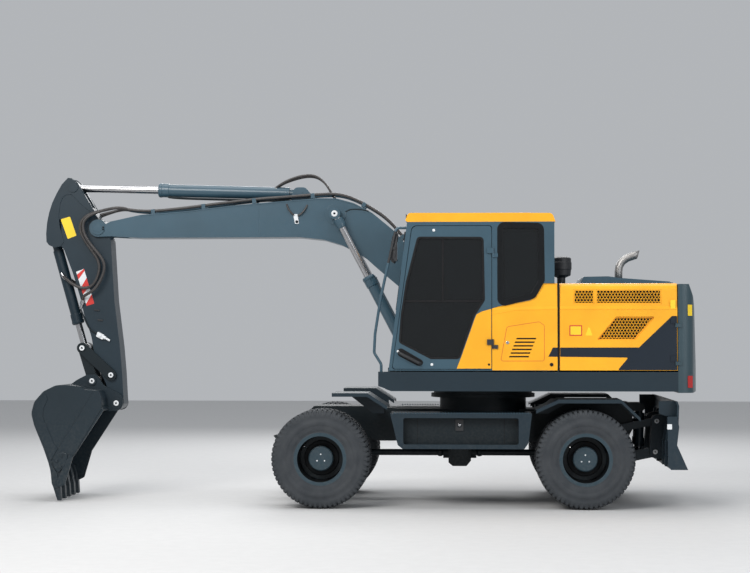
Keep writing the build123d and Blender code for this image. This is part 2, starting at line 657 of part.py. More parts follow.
def chassis():
    """Welded undercarriage frame with the slew pedestal, tow nose and blade brackets."""
    half = FRAME_WIDTH / 2
    spine = slab(
        [
            (FRAME_REAR_X, 800),
            (FRAME_REAR_X, 1090, 30),
            (REAR_AXLE_X - 190, 1120),
            (REAR_AXLE_X + 300, 1120),
            (-640, FRAME_TOP_Z + 20),
            (900, FRAME_TOP_Z + 20),
            (1230, FRAME_TOP_Z + 50),
            (1875, 1050, 30),
            (2010, 900, 60),
            (2190, NOSE_TIP_Z, 20),
            (2175, 570, 20),
            (2030, 552, 20),
            (2010, FRONT_ARCH_Z, 40),
            (1330, FRONT_ARCH_Z, 40),
            (1180, FRAME_BOTTOM_Z),
            (REAR_AXLE_X + 220, FRAME_BOTTOM_Z),
            (REAR_AXLE_X + 180, REAR_ARCH_Z, 30),
            (REAR_AXLE_X - 170, REAR_ARCH_Z, 30),
            (REAR_AXLE_X - 200, 395, 30),
            (BLADE_ARM_PIVOT[0] - 70, 380, 30),
        ],
        -half, half,
    )
    middle = block(-560, 800, -FRAME_MID_WIDTH / 2, FRAME_MID_WIDTH / 2, FRAME_BOTTOM_Z, FRAME_TOP_Z)
    hollow = block(-500, 740, -FRAME_MID_WIDTH / 2 + FRAME_PLATE, FRAME_MID_WIDTH / 2 - FRAME_PLATE,
                   FRAME_BOTTOM_Z + FRAME_PLATE, FRAME_TOP_Z - FRAME_PLATE)
    front_hollow = block(800, 1840, -half + FRAME_PLATE, half - FRAME_PLATE,
                         FRONT_ARCH_Z + FRAME_PLATE, FRAME_TOP_Z - FRAME_PLATE)
    rear_hollow = block(FRAME_REAR_X + 80, -600, -half + FRAME_PLATE, half - FRAME_PLATE,
                        REAR_ARCH_Z + FRAME_PLATE, FRAME_TOP_Z - FRAME_PLATE)
    pedestal = upright(0, 0, PEDESTAL_DIAMETER, FRAME_TOP_Z - 1, PEDESTAL_TOP_Z)
    pedestal += upright(0, 0, SLEW_RING_DIAMETER, PEDESTAL_TOP_Z, PEDESTAL_RING_Z)
    pedestal -= upright(0, 0, SLEW_RING_BORE - 120, FRAME_TOP_Z + 30, PEDESTAL_RING_Z + 1)
    nose_half = NOSE_WIDTH / 2
    nose = slab(
        [(2150, 717), (2330, 716, 12), (NOSE_TIP_X, NOSE_TIP_Z), (2221, 552, 20), (2150, 552)],
        -nose_half, nose_half,
    )
    nose -= pin(TOW_EYE_PLACE, TOW_EYE_DIAMETER, -nose_half - 1, nose_half + 1)
    frame = spine + middle - hollow - front_hollow - rear_hollow + pedestal + nose
    frame += chassis_brackets(half)
    return frame


def chassis_brackets(half):
    """Carriers of boxes and fenders and the blade brackets, on both sides."""
    pieces = None
    for x in STEP_BOX_BEAM_X:
        beam = block(x - 50, x + 50, FRAME_MID_WIDTH / 2 - 4, STEP_BOX_INNER_Y, 760, 880)
        pieces = beam if pieces is None else pieces + beam
    for x in FENDER_ARM_X:
        pieces += block(x - 45, x + 45, half - 4, FENDER_INNER_Y, 985, 1045)
    for centre in (BLADE_ARM_PIVOT, BLADE_LINK_PIVOT):
        pieces += pin(centre, BLADE_PIN_DIAMETER, half - 10, BLADE_ARM_Y + BLADE_ARM_WALL + 8)
        pieces += pin(centre, BLADE_PIN_DIAMETER + 44, half - 10, BLADE_ARM_Y - FACE_CLEARANCE)
    x, z = BLADE_CYLINDER_FOOT
    root = FRAME_REAR_X + 10
    lug_radius = BLADE_BARREL_EYE[0] / 2 + 2
    lug = [(root, z - lug_radius), (x - lug_radius, z - lug_radius, lug_radius - 2),
           (x - lug_radius, z + lug_radius, lug_radius - 2), (root, z + lug_radius)]
    inner = BLADE_BARREL_EYE[1] / 2 + 1
    outer = inner + BLADE_LUG_WALL
    pieces += slab(lug, BLADE_CYLINDER_Y + inner, BLADE_CYLINDER_Y + outer)
    pieces += slab(lug, BLADE_CYLINDER_Y - outer, BLADE_CYLINDER_Y - inner)
    pieces += pin((x, z), BLADE_CYLINDER_PIN, BLADE_CYLINDER_Y - outer - 2, BLADE_CYLINDER_Y + outer + 2)
    return both(pieces)


def slew_ring():
    """Slewing bearing between the pedestal and the deck."""
    ring = upright(0, 0, SLEW_RING_DIAMETER - 60, PEDESTAL_RING_Z, DECK_BOTTOM_Z - FACE_CLEARANCE)
    return ring - upright(0, 0, SLEW_RING_BORE, PEDESTAL_RING_Z - 1, DECK_BOTTOM_Z + 1)


def step_box():
    """Left tool box with its recessed side, step treads and lock."""
    top = STEP_BOX_TOP_Z
    bottom = STEP_BOX_BOTTOM_Z
    front = STEP_BOX_FRONT_X
    rear = STEP_BOX_REAR_X
    body = slab(
        [(rear, top), (front, top), (front - 80, bottom + 41, 20), (front - 132, bottom, 20),
         (rear + 81, bottom, 20), (rear + 37, bottom + 66, 20)],
        STEP_BOX_INNER_Y, STEP_BOX_OUTER_Y,
    )
    hollow = slab(
        [(rear + 30, top - 20), (front - 110, top - 20), (front - 170, bottom + 20),
         (rear + 110, bottom + 20)],
        STEP_BOX_INNER_Y + 20, STEP_BOX_OUTER_Y - STEP_RECESS_DEPTH - 20,
    )
    recess = slab(
        [(rear + 140, top - 48, 22), (front - 139, top - 48, 22), (front - 139, bottom + 47, 22),
         (rear + 140, bottom + 47, 22)],
        STEP_BOX_OUTER_Y - STEP_RECESS_DEPTH, STEP_BOX_OUTER_Y + 1,
    )
    lock = pin((257, 879), 44, STEP_BOX_OUTER_Y - STEP_RECESS_DEPTH - 2, STEP_BOX_OUTER_Y - STEP_RECESS_DEPTH + 16)
    return body - hollow - recess + lock


def fender(points):
    """One left fender: a folded plate with down-turned edges."""
    upper = list(points)
    lower = [(x, z - FENDER_LIP) for x, z in reversed(points)]
    shape = slab(upper + lower, FENDER_INNER_Y, FENDER_OUTER_Y)
    inner_upper = [(x, z - FENDER_PLATE) for x, z in points]
    inner_lower = [(x, z - FENDER_LIP - 20) for x, z in reversed(points)]
    return shape - slab(inner_upper + inner_lower, FENDER_INNER_Y + FENDER_PLATE, FENDER_OUTER_Y - FENDER_PLATE)


def fenders():
    """Front and rear fender plates, each with the web that hangs it on its arm."""
    pieces = fender(FRONT_FENDER) + fender(REAR_FENDER)
    for web in (FRONT_FENDER_WEB, REAR_FENDER_WEB):
        pieces += slab(web, FENDER_INNER_Y, FENDER_INNER_Y + FENDER_WEB_WALL)
    return both(pieces)


# Blade

def blade():
    """Dozer blade: curved plate, back beam, ribs, end plates and pin brackets."""
    half = BLADE_WIDTH / 2
    bottom = BLADE_BOTTOM_Z
    top = BLADE_TOP_Z
    plate = slab(
        [
            (-2131, bottom), (-2109, bottom + 7), (-2013, 684, 160), (-2035, 875, 300),
            (-2043, 1094), (-2028, top), (-2028 + BLADE_PLATE, top),
            (-2043 + BLADE_PLATE, 1094), (-2035 + BLADE_PLATE, 875, 300),
            (-2013 + BLADE_PLATE, 684, 130), (-2085, bottom),
        ],
        -half + BLADE_PLATE, half - BLADE_PLATE,
    )
    ends = pair(
        [(-1917, 984, 12), (-2020, 984), (-2040, 875), (-2018, 684), (-2131, bottom),
         (-1954, bottom), (-1925, bottom + 37)],
        half - BLADE_PLATE, half,
    )
    ears = pair([(-1844, 1010), (-1844, top), (-2030, top), (-2030, 984), (-1917, 984)],
                half - 160, half - 160 + BLADE_PLATE)
    beam = block(-2016, -1946, -half + BLADE_PLATE, half - BLADE_PLATE, 560, 700)
    sole = slab([(-2110, bottom), (-2090, bottom + 30), (-1960, bottom + 30), (-1960, bottom)],
                -half + BLADE_PLATE, half - BLADE_PLATE)
    shape = plate + ends + ears + beam + sole
    for y in (0, 560, 840):
        for side in (-1, 1):
            rib = slab([(-2020, 1000), (-1990, 1000), (-1930, 700), (-1930, bottom + 10),
                        (-2080, bottom + 10), (-1995, 690)],
                       side * y - 8, side * y + 8)
            shape += rib
    inner = BLADE_ARM_Y + BLADE_ARM_WALL + FACE_CLEARANCE
    clevis = [
        (-2020, BLADE_UPPER_PIN[1] + 90), (BLADE_UPPER_PIN[0] + 52, BLADE_UPPER_PIN[1] + 56, 50),
        (BLADE_UPPER_PIN[0] + 52, BLADE_UPPER_PIN[1] - 40), (BLADE_LOWER_PIN[0] + 60, BLADE_LOWER_PIN[1] + 50),
        (BLADE_LOWER_PIN[0] + 60, BLADE_LOWER_PIN[1] - 60, 50), (-2050, bottom + 40), (-2000, 690),
    ]
    for low, high in ((BLADE_ARM_Y - FACE_CLEARANCE - 26, BLADE_ARM_Y - FACE_CLEARANCE), (inner, inner + 26)):
        shape += pair(clevis, low, high)
    for centre in (BLADE_LOWER_PIN, BLADE_UPPER_PIN):
        shape += both(pin(centre, BLADE_PIN_DIAMETER, BLADE_ARM_Y - 20, inner + 36))
    return shape


def strut(start, finish, depth, y_low, y_high, bore):
    """Flat link between two pins, rounded about each, bored for them."""
    length = hypot(finish[0] - start[0], finish[1] - start[1])
    angle = degrees(atan2(finish[1] - start[1], finish[0] - start[0]))
    half = depth / 2
    body = extrude(Plane.XZ.offset(-y_high) * Pos(*start) * Rot(0, 0, angle) * Pos(length / 2, 0)
                   * SlotCenterToCenter(length, depth), y_high - y_low)
    for centre in (start, finish):
        body -= pin(centre, bore + 2 * PIN_CLEARANCE, y_low - 1, y_high + 1)
    return body


def blade_arms():
    """Lower pair of arms, tied by the cross tube and lugs that the cylinders act on."""
    arm = strut(BLADE_ARM_PIVOT, BLADE_LOWER_PIN, BLADE_ARM_DEPTH, BLADE_ARM_Y,
                BLADE_ARM_Y + BLADE_ARM_WALL, BLADE_PIN_DIAMETER)
    x, z = BLADE_CYLINDER_EYE
    tie = pin((x + BLADE_TIE_AHEAD, z - 15), BLADE_TIE_DIAMETER, -BLADE_ARM_Y - 2, BLADE_ARM_Y + 2)
    radius = BLADE_ROD_EYE[0] / 2 + 2
    lug = [(x + BLADE_TIE_AHEAD, z - 46), (x - radius, z - radius, 0.8 * radius),
           (x - radius, z + radius, 0.8 * radius), (x + BLADE_TIE_AHEAD, z + 16)]
    inner = BLADE_ROD_EYE[1] / 2 + RUN_CLEARANCE
    lugs = slab(lug, BLADE_CYLINDER_Y + inner, BLADE_CYLINDER_Y + inner + BLADE_LUG_WALL)
    lugs += slab(lug, BLADE_CYLINDER_Y - inner - BLADE_LUG_WALL, BLADE_CYLINDER_Y - inner)
    return both(arm) + tie + both(lugs)


def blade_links():
    """Upper pair of links, parallel to the arms."""
    link = strut(BLADE_LINK_PIVOT, BLADE_UPPER_PIN, BLADE_LINK_DEPTH, BLADE_ARM_Y,
                 BLADE_ARM_Y + BLADE_LINK_WALL, BLADE_PIN_DIAMETER)
    return both(link)


# Hydraulic cylinders

def barrel(foot, eye, y, diameter, length, neck, foot_eye, foot_pin, rod_diameter):
    """Cylinder barrel: foot eye, neck between its ears, tube, and gland bored for the rod."""
    eye_diameter, eye_width = foot_eye
    gland = along(foot, eye, length)
    shape = round_bar(along(foot, eye, neck), gland, diameter, y)
    shape += round_bar(foot, along(foot, eye, neck + 1), eye_width - 2 * NECK_INSET, y)
    shape += round_bar(along(foot, eye, length - GLAND_LENGTH), gland, diameter + 2 * GLAND_LIP, y)
    shape += pin(foot, eye_diameter, y - eye_width / 2, y + eye_width / 2)
    bore = rod_diameter + 2 * PIN_CLEARANCE
    shape -= round_bar(along(foot, eye, neck + BARREL_END_WALL), along(foot, eye, length + 10), bore, y)
    return shape - pin(foot, foot_pin + 2 * PIN_CLEARANCE, y - eye_width, y + eye_width)


def rod(foot, eye, y, diameter, length, rod_eye):
    """Piston rod from its eye back into the barrel."""
    eye_diameter, eye_width = rod_eye
    span = hypot(eye[0] - foot[0], eye[1] - foot[1])
    inner = along(foot, eye, span - length)
    shape = round_bar(inner, along(foot, eye, span - eye_diameter / 2 + 10), diameter, y)
    return shape + pin(eye, eye_diameter, y - eye_width / 2, y + eye_width / 2)


def blade_barrels():
    """The blade's two cylinder barrels, hung from the frame's rear lugs."""
    return both(barrel(BLADE_CYLINDER_FOOT, BLADE_CYLINDER_EYE, BLADE_CYLINDER_Y, BLADE_BARREL_DIAMETER,
                       BLADE_BARREL_LENGTH, BLADE_BARREL_NECK, BLADE_BARREL_EYE, BLADE_CYLINDER_PIN,
                       BLADE_ROD_DIAMETER))


def blade_rods():
    """The blade's two rods, each with its eye between the lugs of the arms."""
    return both(rod(BLADE_CYLINDER_FOOT, BLADE_CYLINDER_EYE, BLADE_CYLINDER_Y, BLADE_ROD_DIAMETER,
                    BLADE_ROD_LENGTH, BLADE_ROD_EYE))


def boom_barrels():
    """Boom cylinder barrels, one each side of the boom."""
    return both(barrel(BOOM_CYLINDER_FOOT, BOOM_CYLINDER_EYE, BOOM_CYLINDER_Y, BOOM_BARREL_DIAMETER,
                       BOOM_BARREL_LENGTH, BOOM_BARREL_NECK, BOOM_BARREL_EYE, BOOM_CYLINDER_PIN,
                       BOOM_ROD_DIAMETER))


def boom_rods():
    """Boom cylinder rods, each eye beside the boom's pin boss."""
    return both(rod(BOOM_CYLINDER_FOOT, BOOM_CYLINDER_EYE, BOOM_CYLINDER_Y, BOOM_ROD_DIAMETER,
                    BOOM_ROD_LENGTH, BOOM_ROD_EYE))


def arm_barrel():
    """Arm cylinder barrel on top of the boom."""
    return barrel(ARM_CYLINDER_FOOT, ARM_CYLINDER_EYE, 0, ARM_BARREL_DIAMETER, ARM_BARREL_LENGTH,
                  ARM_BARREL_NECK, ARM_BARREL_EYE, ARM_CYLINDER_PIN, ARM_ROD_DIAMETER)


def arm_rod():
    """Arm cylinder rod with its eye between the arm's tail ears."""
    return rod(ARM_CYLINDER_FOOT, ARM_CYLINDER_EYE, 0, ARM_ROD_DIAMETER, ARM_ROD_LENGTH, ARM_ROD_EYE)


def bucket_barrel():
    """Bucket cylinder barrel in front of the arm."""
    return barrel(BUCKET_CYLINDER_FOOT, BUCKET_CYLINDER_EYE, 0, BUCKET_BARREL_DIAMETER, BUCKET_BARREL_LENGTH,
                  BUCKET_BARREL_NECK, BUCKET_BARREL_EYE, BUCKET_CYLINDER_PIN, BUCKET_ROD_DIAMETER)


def bucket_rod():
    """Bucket cylinder rod with its eye between the link's plates."""
    return rod(BUCKET_CYLINDER_FOOT, BUCKET_CYLINDER_EYE, 0, BUCKET_ROD_DIAMETER, BUCKET_ROD_LENGTH,
               BUCKET_ROD_EYE)


# Upperstructure

def deck():
    """Slewing frame: floor, side skirts, cross beams, boom foot brackets and their pin."""
    half = DECK_HALF_WIDTH
    front = DECK_FRONT_X
    low = DECK_BOTTOM_Z
    floor = plan([(DECK_REAR_X, -half), (DECK_REAR_X, half), (front, half, 60), (front, -half, 60)],
                 low, low + DECK_PLATE)
    floor -= slab([(front - 140, low - 1), (front + 10, low - 1), (front + 10, low + 54)], -half - 1, half + 1)
    skirt = slab(
        [(DECK_REAR_X, low), (DECK_REAR_X, DECK_TOP_Z), (front, DECK_TOP_Z), (front, low + 54),
         (front - 134, low + 7)],
        half - SKIRT_WIDTH, half,
    )
    skirt -= slab(
        [(DECK_REAR_X + 20, low + 30), (DECK_REAR_X + 20, DECK_TOP_Z - SKIRT_WALL),
         (front - 30, DECK_TOP_Z - SKIRT_WALL), (front - 30, low + 90)],
        half - SKIRT_WIDTH - 1, half - SKIRT_WALL,
    )
    shape = floor + both(skirt)
    inner = BOOM_FOOT_WIDTH / 2 + FACE_CLEARANCE
    web_face = inner + BRACKET_PLATE
    for x in DECK_BEAM_X:
        shape += both(block(x - 30, x + 30, web_face - 2, half - SKIRT_WIDTH + 2, low + DECK_PLATE, DECK_TOP_Z))
    boss = BOOM_PIN_DIAMETER / 2 + 83
    lug = BOOM_BARREL_EYE[0] / 2 + 8
    foot_x, foot_z = BOOM_CYLINDER_FOOT
    web = [
        (DECK_REAR_X, low + 4), (DECK_REAR_X, DECK_TOP_Z), (-640, DECK_TOP_Z, 200), (-200, 1740, 200),
        (BOOM_FOOT[0] - boss, BOOM_FOOT[1] + boss, boss - 4), (BOOM_FOOT[0] + boss, BOOM_FOOT[1] + boss, boss - 4),
        (foot_x - 60, foot_z + 150, 120), (foot_x + 82, foot_z + 82, 78), (foot_x + 82, foot_z - 90, 40),
        (front - 160, low + 60), (front - 160, low + 4),
    ]
    shape += pair(web, inner, web_face)
    bracket = [(foot_x - 190, low + 4), (foot_x - lug, foot_z + lug, lug - 4),
               (foot_x + lug, foot_z + lug, lug - 4), (foot_x + 110, low + 4)]
    lug_y = BOOM_CYLINDER_Y + BOOM_BARREL_EYE[1] / 2 + FACE_CLEARANCE
    eye_inner = BOOM_CYLINDER_Y - BOOM_BARREL_EYE[1] / 2 - FACE_CLEARANCE
    shape += pair(bracket, lug_y, lug_y + BOOM_LUG_WALL)
    shape += both(pin(BOOM_CYLINDER_FOOT, BOOM_CYLINDER_PIN, inner + 2, lug_y + BOOM_LUG_WALL + 6))
    shape += both(pin(BOOM_CYLINDER_FOOT, BOOM_CYLINDER_PIN + 30, web_face - 2, eye_inner))
    shape += pin(BOOM_FOOT, BOOM_PIN_DIAMETER, -web_face - 14, web_face + 14)
    shape += both(pin(BOOM_FOOT, BOOM_PIN_DIAMETER + 70, web_face - 1, web_face + 6))
    return shape + block(front - 190, front - 160, -inner - 4, inner + 4, low + 4, DECK_TOP_Z - 60)


def hinge_half(axis, pad_x, end_x, foot_y, z_low, z_high):
    """Knuckle on an upright hinge axis, its strap, and the pad that stands on a face."""
    x, y = axis
    strap_low, strap_high = sorted((x, end_x))
    pad_low, pad_high = sorted((pad_x, end_x))
    shape = upright(x, y, 2 * HINGE_RADIUS, z_low, z_high)
    shape += block(strap_low, strap_high, y - HINGE_STRAP / 2, y + HINGE_STRAP / 2, z_low, z_high)
    return shape + block(pad_low, pad_high, foot_y, y, z_low, z_high)


def counterweight():
    """Cast counterweight, rounded in plan and section, with its halves of the door hinges."""
    half = DECK_HALF_WIDTH
    low, high = COUNTERWEIGHT_BOTTOM_Z, COUNTERWEIGHT_TOP_Z
    shape = plan(
        [(DECK_REAR_X, -half), (DECK_REAR_X, half), (TAIL_X + 112, half, 130), (TAIL_X, 560, 900),
         (TAIL_X, -560, 900), (TAIL_X + 112, -half, 130)],
        low, high,
    )
    behind = [
        (TAIL_X - 50, low - 10), (TAIL_X, low - 10), (TAIL_X, 1420, 900), (TAIL_X + 60, 2150, 400),
        (TAIL_X + 150, high, 70), (TAIL_X + 150, high + 10), (TAIL_X - 50, high + 10),
    ]
    shape -= slab(behind, -half - 50, half + 50)
    for z in BAY_HINGE_Z:
        shape += both(hinge_half(BAY_HINGE, DECK_REAR_X - 5, DECK_REAR_X - 40, half - 1,
                                 z - HINGE_LOWER, z - FACE_CLEARANCE))
    return shape


def engine():
    """Engine and cooling pack as one block."""
    return block(-1800, -1100, -300, 500, DECK_TOP_Z, 2100)


def bay_frame():
    """Engine bay frame: front wall with its side posts, top cover round the hood opening."""
    rear = DOOR_FRONT_X + PANEL_GAP
    front = PANEL_REAR_X - FACE_CLEARANCE
    half = DECK_HALF_WIDTH - BAY_PANEL - 10
    under = BAY_TOP_Z - BAY_PANEL
    shape = block(rear, rear + BAY_SHEET, -half, half, DECK_TOP_Z, under)
    shape += both(block(rear, front, half - 60, half, DECK_TOP_Z, under))
    edge = DECK_HALF_WIDTH - BAY_RETURN - PANEL_GAP
    cover = block(DECK_REAR_X, front, -edge, edge, under, BAY_TOP_Z)
    cover -= block(DECK_REAR_X + 20, front - 20, -edge + 20, edge - 20, under - 1, BAY_TOP_Z - BAY_SHEET)
    cover -= block(HOOD_REAR_X - PANEL_GAP, HOOD_FRONT_X + PANEL_GAP, HOOD_RIGHT_Y - PANEL_GAP,
                   HOOD_LEFT_Y + PANEL_GAP, under - 1, BAY_TOP_Z + 1)
    shape += cover
    x, z = HOOD_HINGE
    for y in HOOD_HINGE_Y:
        shape += pin(HOOD_HINGE, 2 * HINGE_RADIUS, y + HINGE_LENGTH + FACE_CLEARANCE, y + 2 * HINGE_LENGTH)
        shape += block(DECK_REAR_X, x, y + HINGE_LENGTH + FACE_CLEARANCE, y + 2 * HINGE_LENGTH, BAY_TOP_Z - 1, z)
    return shape


def bay_section(thickness):
    """Front view of a bay door: upright, broken at the crease, rounded into the top."""
    outer = DECK_HALF_WIDTH
    top = BAY_TOP_Z
    return [
        (outer - thickness, PANEL_BOTTOM_Z), (outer, PANEL_BOTTOM_Z), (outer, CREASE_Z),
        (outer - 16, CREASE_Z + 30), (outer - 24, top, 70), (outer - BAY_RETURN, top),
        (outer - BAY_RETURN, top - thickness), (outer - 24 - thickness, top - thickness, 40),
        (outer - 16 - thickness, CREASE_Z + 30), (outer - thickness, CREASE_Z),
    ]


def louvres():
    """Slots of the left and right hatches, a row of slanted parallelograms."""
    slots = None
    for k in range(LOUVRES):
        x = LOUVRE_START[0] + k * LOUVRE_STEP[0]
        z = LOUVRE_START[1] + k * LOUVRE_STEP[1]
        slot = slab([(x, z), (x - LOUVRE_LENGTH, z), (x - LOUVRE_LENGTH + 5, z - LOUVRE_HEIGHT),
                     (x + 5, z - LOUVRE_HEIGHT)], DECK_HALF_WIDTH - 60, DECK_HALF_WIDTH + 1)
        slots = slot if slots is None else slots + slot
    return slots


def side_panels():
    """Fixed panels ahead of the engine doors: the left one laps the cab, the right one the tank."""
    outer = DECK_HALF_WIDTH
    wall = LEFT_PANEL_WALL
    left = across(
        [(outer - wall, PANEL_BOTTOM_Z), (outer, PANEL_BOTTOM_Z), (outer, CREASE_Z), (outer - 16, CREASE_Z + 30),
         (outer - 24, BAY_TOP_Z), (outer - 24 - wall, BAY_TOP_Z), (outer - 16 - wall, CREASE_Z + 30),
         (outer - wall, CREASE_Z)],
        PANEL_REAR_X, LEFT_PANEL[0][0],
    )
    left = left & slab(LEFT_PANEL, outer - 200, outer + 10)
    right = across(bay_section(BAY_PANEL), PANEL_REAR_X, RIGHT_PANEL_FRONT_X)
    slots = louvres()
    return (left - slots) + right_of(right - slots)


def engine_door(side):
    """Hinged engine-bay door with its grille openings."""
    shape = across(bay_section(BAY_PANEL), DOOR_REAR_X, DOOR_FRONT_X)
    low = DECK_HALF_WIDTH - 60
    for span in GRILLE_SPANS:
        shape -= slab(grille_outline(span), low, DECK_HALF_WIDTH + 1)
    shape -= slab([(x, z, 14) for x, z in LOWER_GRILLE], low, DECK_HALF_WIDTH + 1)
    for z in BAY_HINGE_Z:
        shape += hinge_half(BAY_HINGE, DOOR_REAR_X + 37, DOOR_REAR_X + 70, DECK_HALF_WIDTH - 1, z, z + HINGE_UPPER)
    return shape if side > 0 else right_of(shape)


def grille_outline(span):
    """Outline of an upper grille opening between two lengthwise limits."""
    rear, front = span
    low, high = GRILLE_Z
    return [(rear, low, 10), (rear, high, 10), (front, high, 10), (front, low, 10)]


def door_grilles(side):
    """Grille inserts of one engine door, barred across each opening."""
    face = DECK_HALF_WIDTH - GRILLE_INSET
    back = face - GRILLE_WALL
    bars = None
    step = (GRILLE_Z[1] - GRILLE_Z[0]) / UPPER_GRILLE_ROWS
    for rear, front in GRILLE_SPANS:
        frame = slab(grille_outline((rear, front)), back, face)
        for row in range(UPPER_GRILLE_ROWS):
            z = GRILLE_Z[0] + step * row + 5
            frame -= block(rear + 10, front - 10, back - 1, face + 1, z, z + step - 10)
        bars = frame if bars is None else bars + frame
    top_rear, bottom_rear, bottom_front = LOWER_GRILLE[1], LOWER_GRILLE[2], LOWER_GRILLE[3]
    lower = slab([(x, z, 14) for x, z in LOWER_GRILLE], back, face)
    step = (top_rear[1] - bottom_rear[1]) / LOWER_GRILLE_ROWS
    lean = (top_rear[0] - bottom_rear[0]) / (top_rear[1] - bottom_rear[1])
    for row in range(LOWER_GRILLE_ROWS):
        z = bottom_rear[1] + step * row + 5
        shift = lean * (z + step / 2 - bottom_rear[1])
        lower -= block(bottom_rear[0] + 25 + shift, bottom_front[0] - 25 + shift, back - 1, face + 1,
                       z, z + step - 10)
    bars += lower
    return bars if side > 0 else right_of(bars)


def hood():
    """Raised engine hood lid with its knuckles along the rear edge."""
    shell = slab(
        [(HOOD_FRONT_X, BAY_TOP_Z - 20), (HOOD_FRONT_X, BAY_TOP_Z + 12), (HOOD_FRONT_X - 31, HOOD_TOP_Z - 5, 20),
         (-1338, HOOD_TOP_Z, 200), (-1459, HOOD_TOP_Z - 18, 200), (-1988, 2410), (HOOD_REAR_X, BAY_TOP_Z + 4),
         (HOOD_REAR_X, BAY_TOP_Z - 20)],
        HOOD_RIGHT_Y, HOOD_LEFT_Y,
    )
    shell -= slab(
        [(HOOD_FRONT_X - 20, BAY_TOP_Z - 30), (HOOD_FRONT_X - 20, BAY_TOP_Z), (HOOD_FRONT_X - 50, HOOD_TOP_Z - 15),
         (-1338, HOOD_TOP_Z - 10), (-1470, HOOD_TOP_Z - 30), (-1980, 2398), (HOOD_REAR_X + 20, BAY_TOP_Z - 30)],
        HOOD_RIGHT_Y + 10, HOOD_LEFT_Y - 10,
    )
    x, z = HOOD_HINGE
    for y in HOOD_HINGE_Y:
        shell += pin(HOOD_HINGE, 2 * HINGE_RADIUS, y, y + HINGE_LENGTH)
        shell += block(x, x + 35, y, y + HINGE_LENGTH, z - 8, z)
    return shell


def exhaust():
    """Tail pipe with its slanted, rearward outlet."""
    x, y = EXHAUST_FOOT
    bend = (x, y, BAY_TOP_Z + 257)
    pipe = tube([(x, y, BAY_TOP_Z), bend, (x - 220, y, BAY_TOP_Z + 362)], [90], EXHAUST_DIAMETER)
    bore = tube([(x, y, BAY_TOP_Z + 117), bend, (x - 250, y, BAY_TOP_Z + 376)], [90], EXHAUST_DIAMETER - 10)
    collar = upright(x, y, EXHAUST_DIAMETER + 22, BAY_TOP_Z, BAY_TOP_Z + 60)
    slant = Plane(origin=(x - 174, y, BAY_TOP_Z + 307), z_dir=(-0.55, 0, -0.84))
    pipe = pipe + collar - bore
    return pipe - extrude(slant * Rectangle(400, 400), 300)


def pre_cleaner():
    """Cyclone air pre-cleaner on its stack."""
    x, y = PRE_CLEANER_PLACE
    section = [
        (0, BAY_TOP_Z), (60, BAY_TOP_Z), (60, BAY_TOP_Z + 20), (46, BAY_TOP_Z + 26), (46, 2470),
        (104, 2496, 12), (110, 2560), (115, 2566), (115, 2640), (110, 2646), (110, 2690, 20), (60, 2704), (0, 2704),
    ]
    return Pos(x, y, 0) * revolve(Plane.XZ * outline(section), Axis.Z)


def hollow_box(corners, y_low, y_high, wall):
    """Side-view outline made into a closed box with walls all round."""
    body = slab(corners, y_low, y_high)
    return body - slab(inset_corners(corners, wall), y_low + wall, y_high - wall)


def tanks():
    """Right-hand fuel tank, hydraulic tank behind it, and the step box ahead of it."""
    low = -DECK_HALF_WIDTH + 6
    high = -CAB_INNER_Y - 20
    fuel = hollow_box(
        [(-74, DECK_TOP_Z), (-74, 2330, 60), (470, 2210, 120), (560, 1990, 60), (560, DECK_TOP_Z)],
        low, high, TANK_WALL,
    )
    hydraulic = hollow_box(
        [(-760, DECK_TOP_Z), (-760, 2340, 40), (-80, 2340, 40), (-80, DECK_TOP_Z)],
        -DECK_HALF_WIDTH + BAY_RETURN + 10, high, TANK_WALL,
    )
    box = hollow_box(
        [(566, DECK_TOP_Z), (566, 1760, 20), (900, 1760, 40), (1040, 1610, 60), (1060, DECK_TOP_Z)],
        low, high, TOOL_BOX_WALL,
    )
    return fuel + hydraulic + box


# Cab

def cab_front(z):
    """Front of the cab at height z."""
    share = (z - CAB_BASE_Z) / (CAB_TOP_Z - CAB_BASE_Z)
    return CAB_FRONT_BASE_X + (CAB_FRONT_TOP_X - CAB_FRONT_BASE_X) * share


def cab_profile(inset, base, top):
    """Side view of the cab, inset from its walls."""
    return [
        (CAB_REAR_X + inset, base), (CAB_REAR_X + inset, top), (cab_front(top) - inset, top),
        (cab_front(base) - inset, base),
    ]


def door_profile(grow):
    """Side view of the cab door, grown by the gap round it."""
    return [
        (DOOR_REAR_EDGE_X - grow, DOOR_BOTTOM_Z - grow, 30), (DOOR_REAR_EDGE_X - grow, DOOR_TOP_Z + grow, 30),
        (cab_front(DOOR_TOP_Z) - 60 + grow, DOOR_TOP_Z + grow, 60),
        (cab_front(DOOR_BOTTOM_Z) - 38 + grow, DOOR_BOTTOM_Z - grow, 30),
    ]


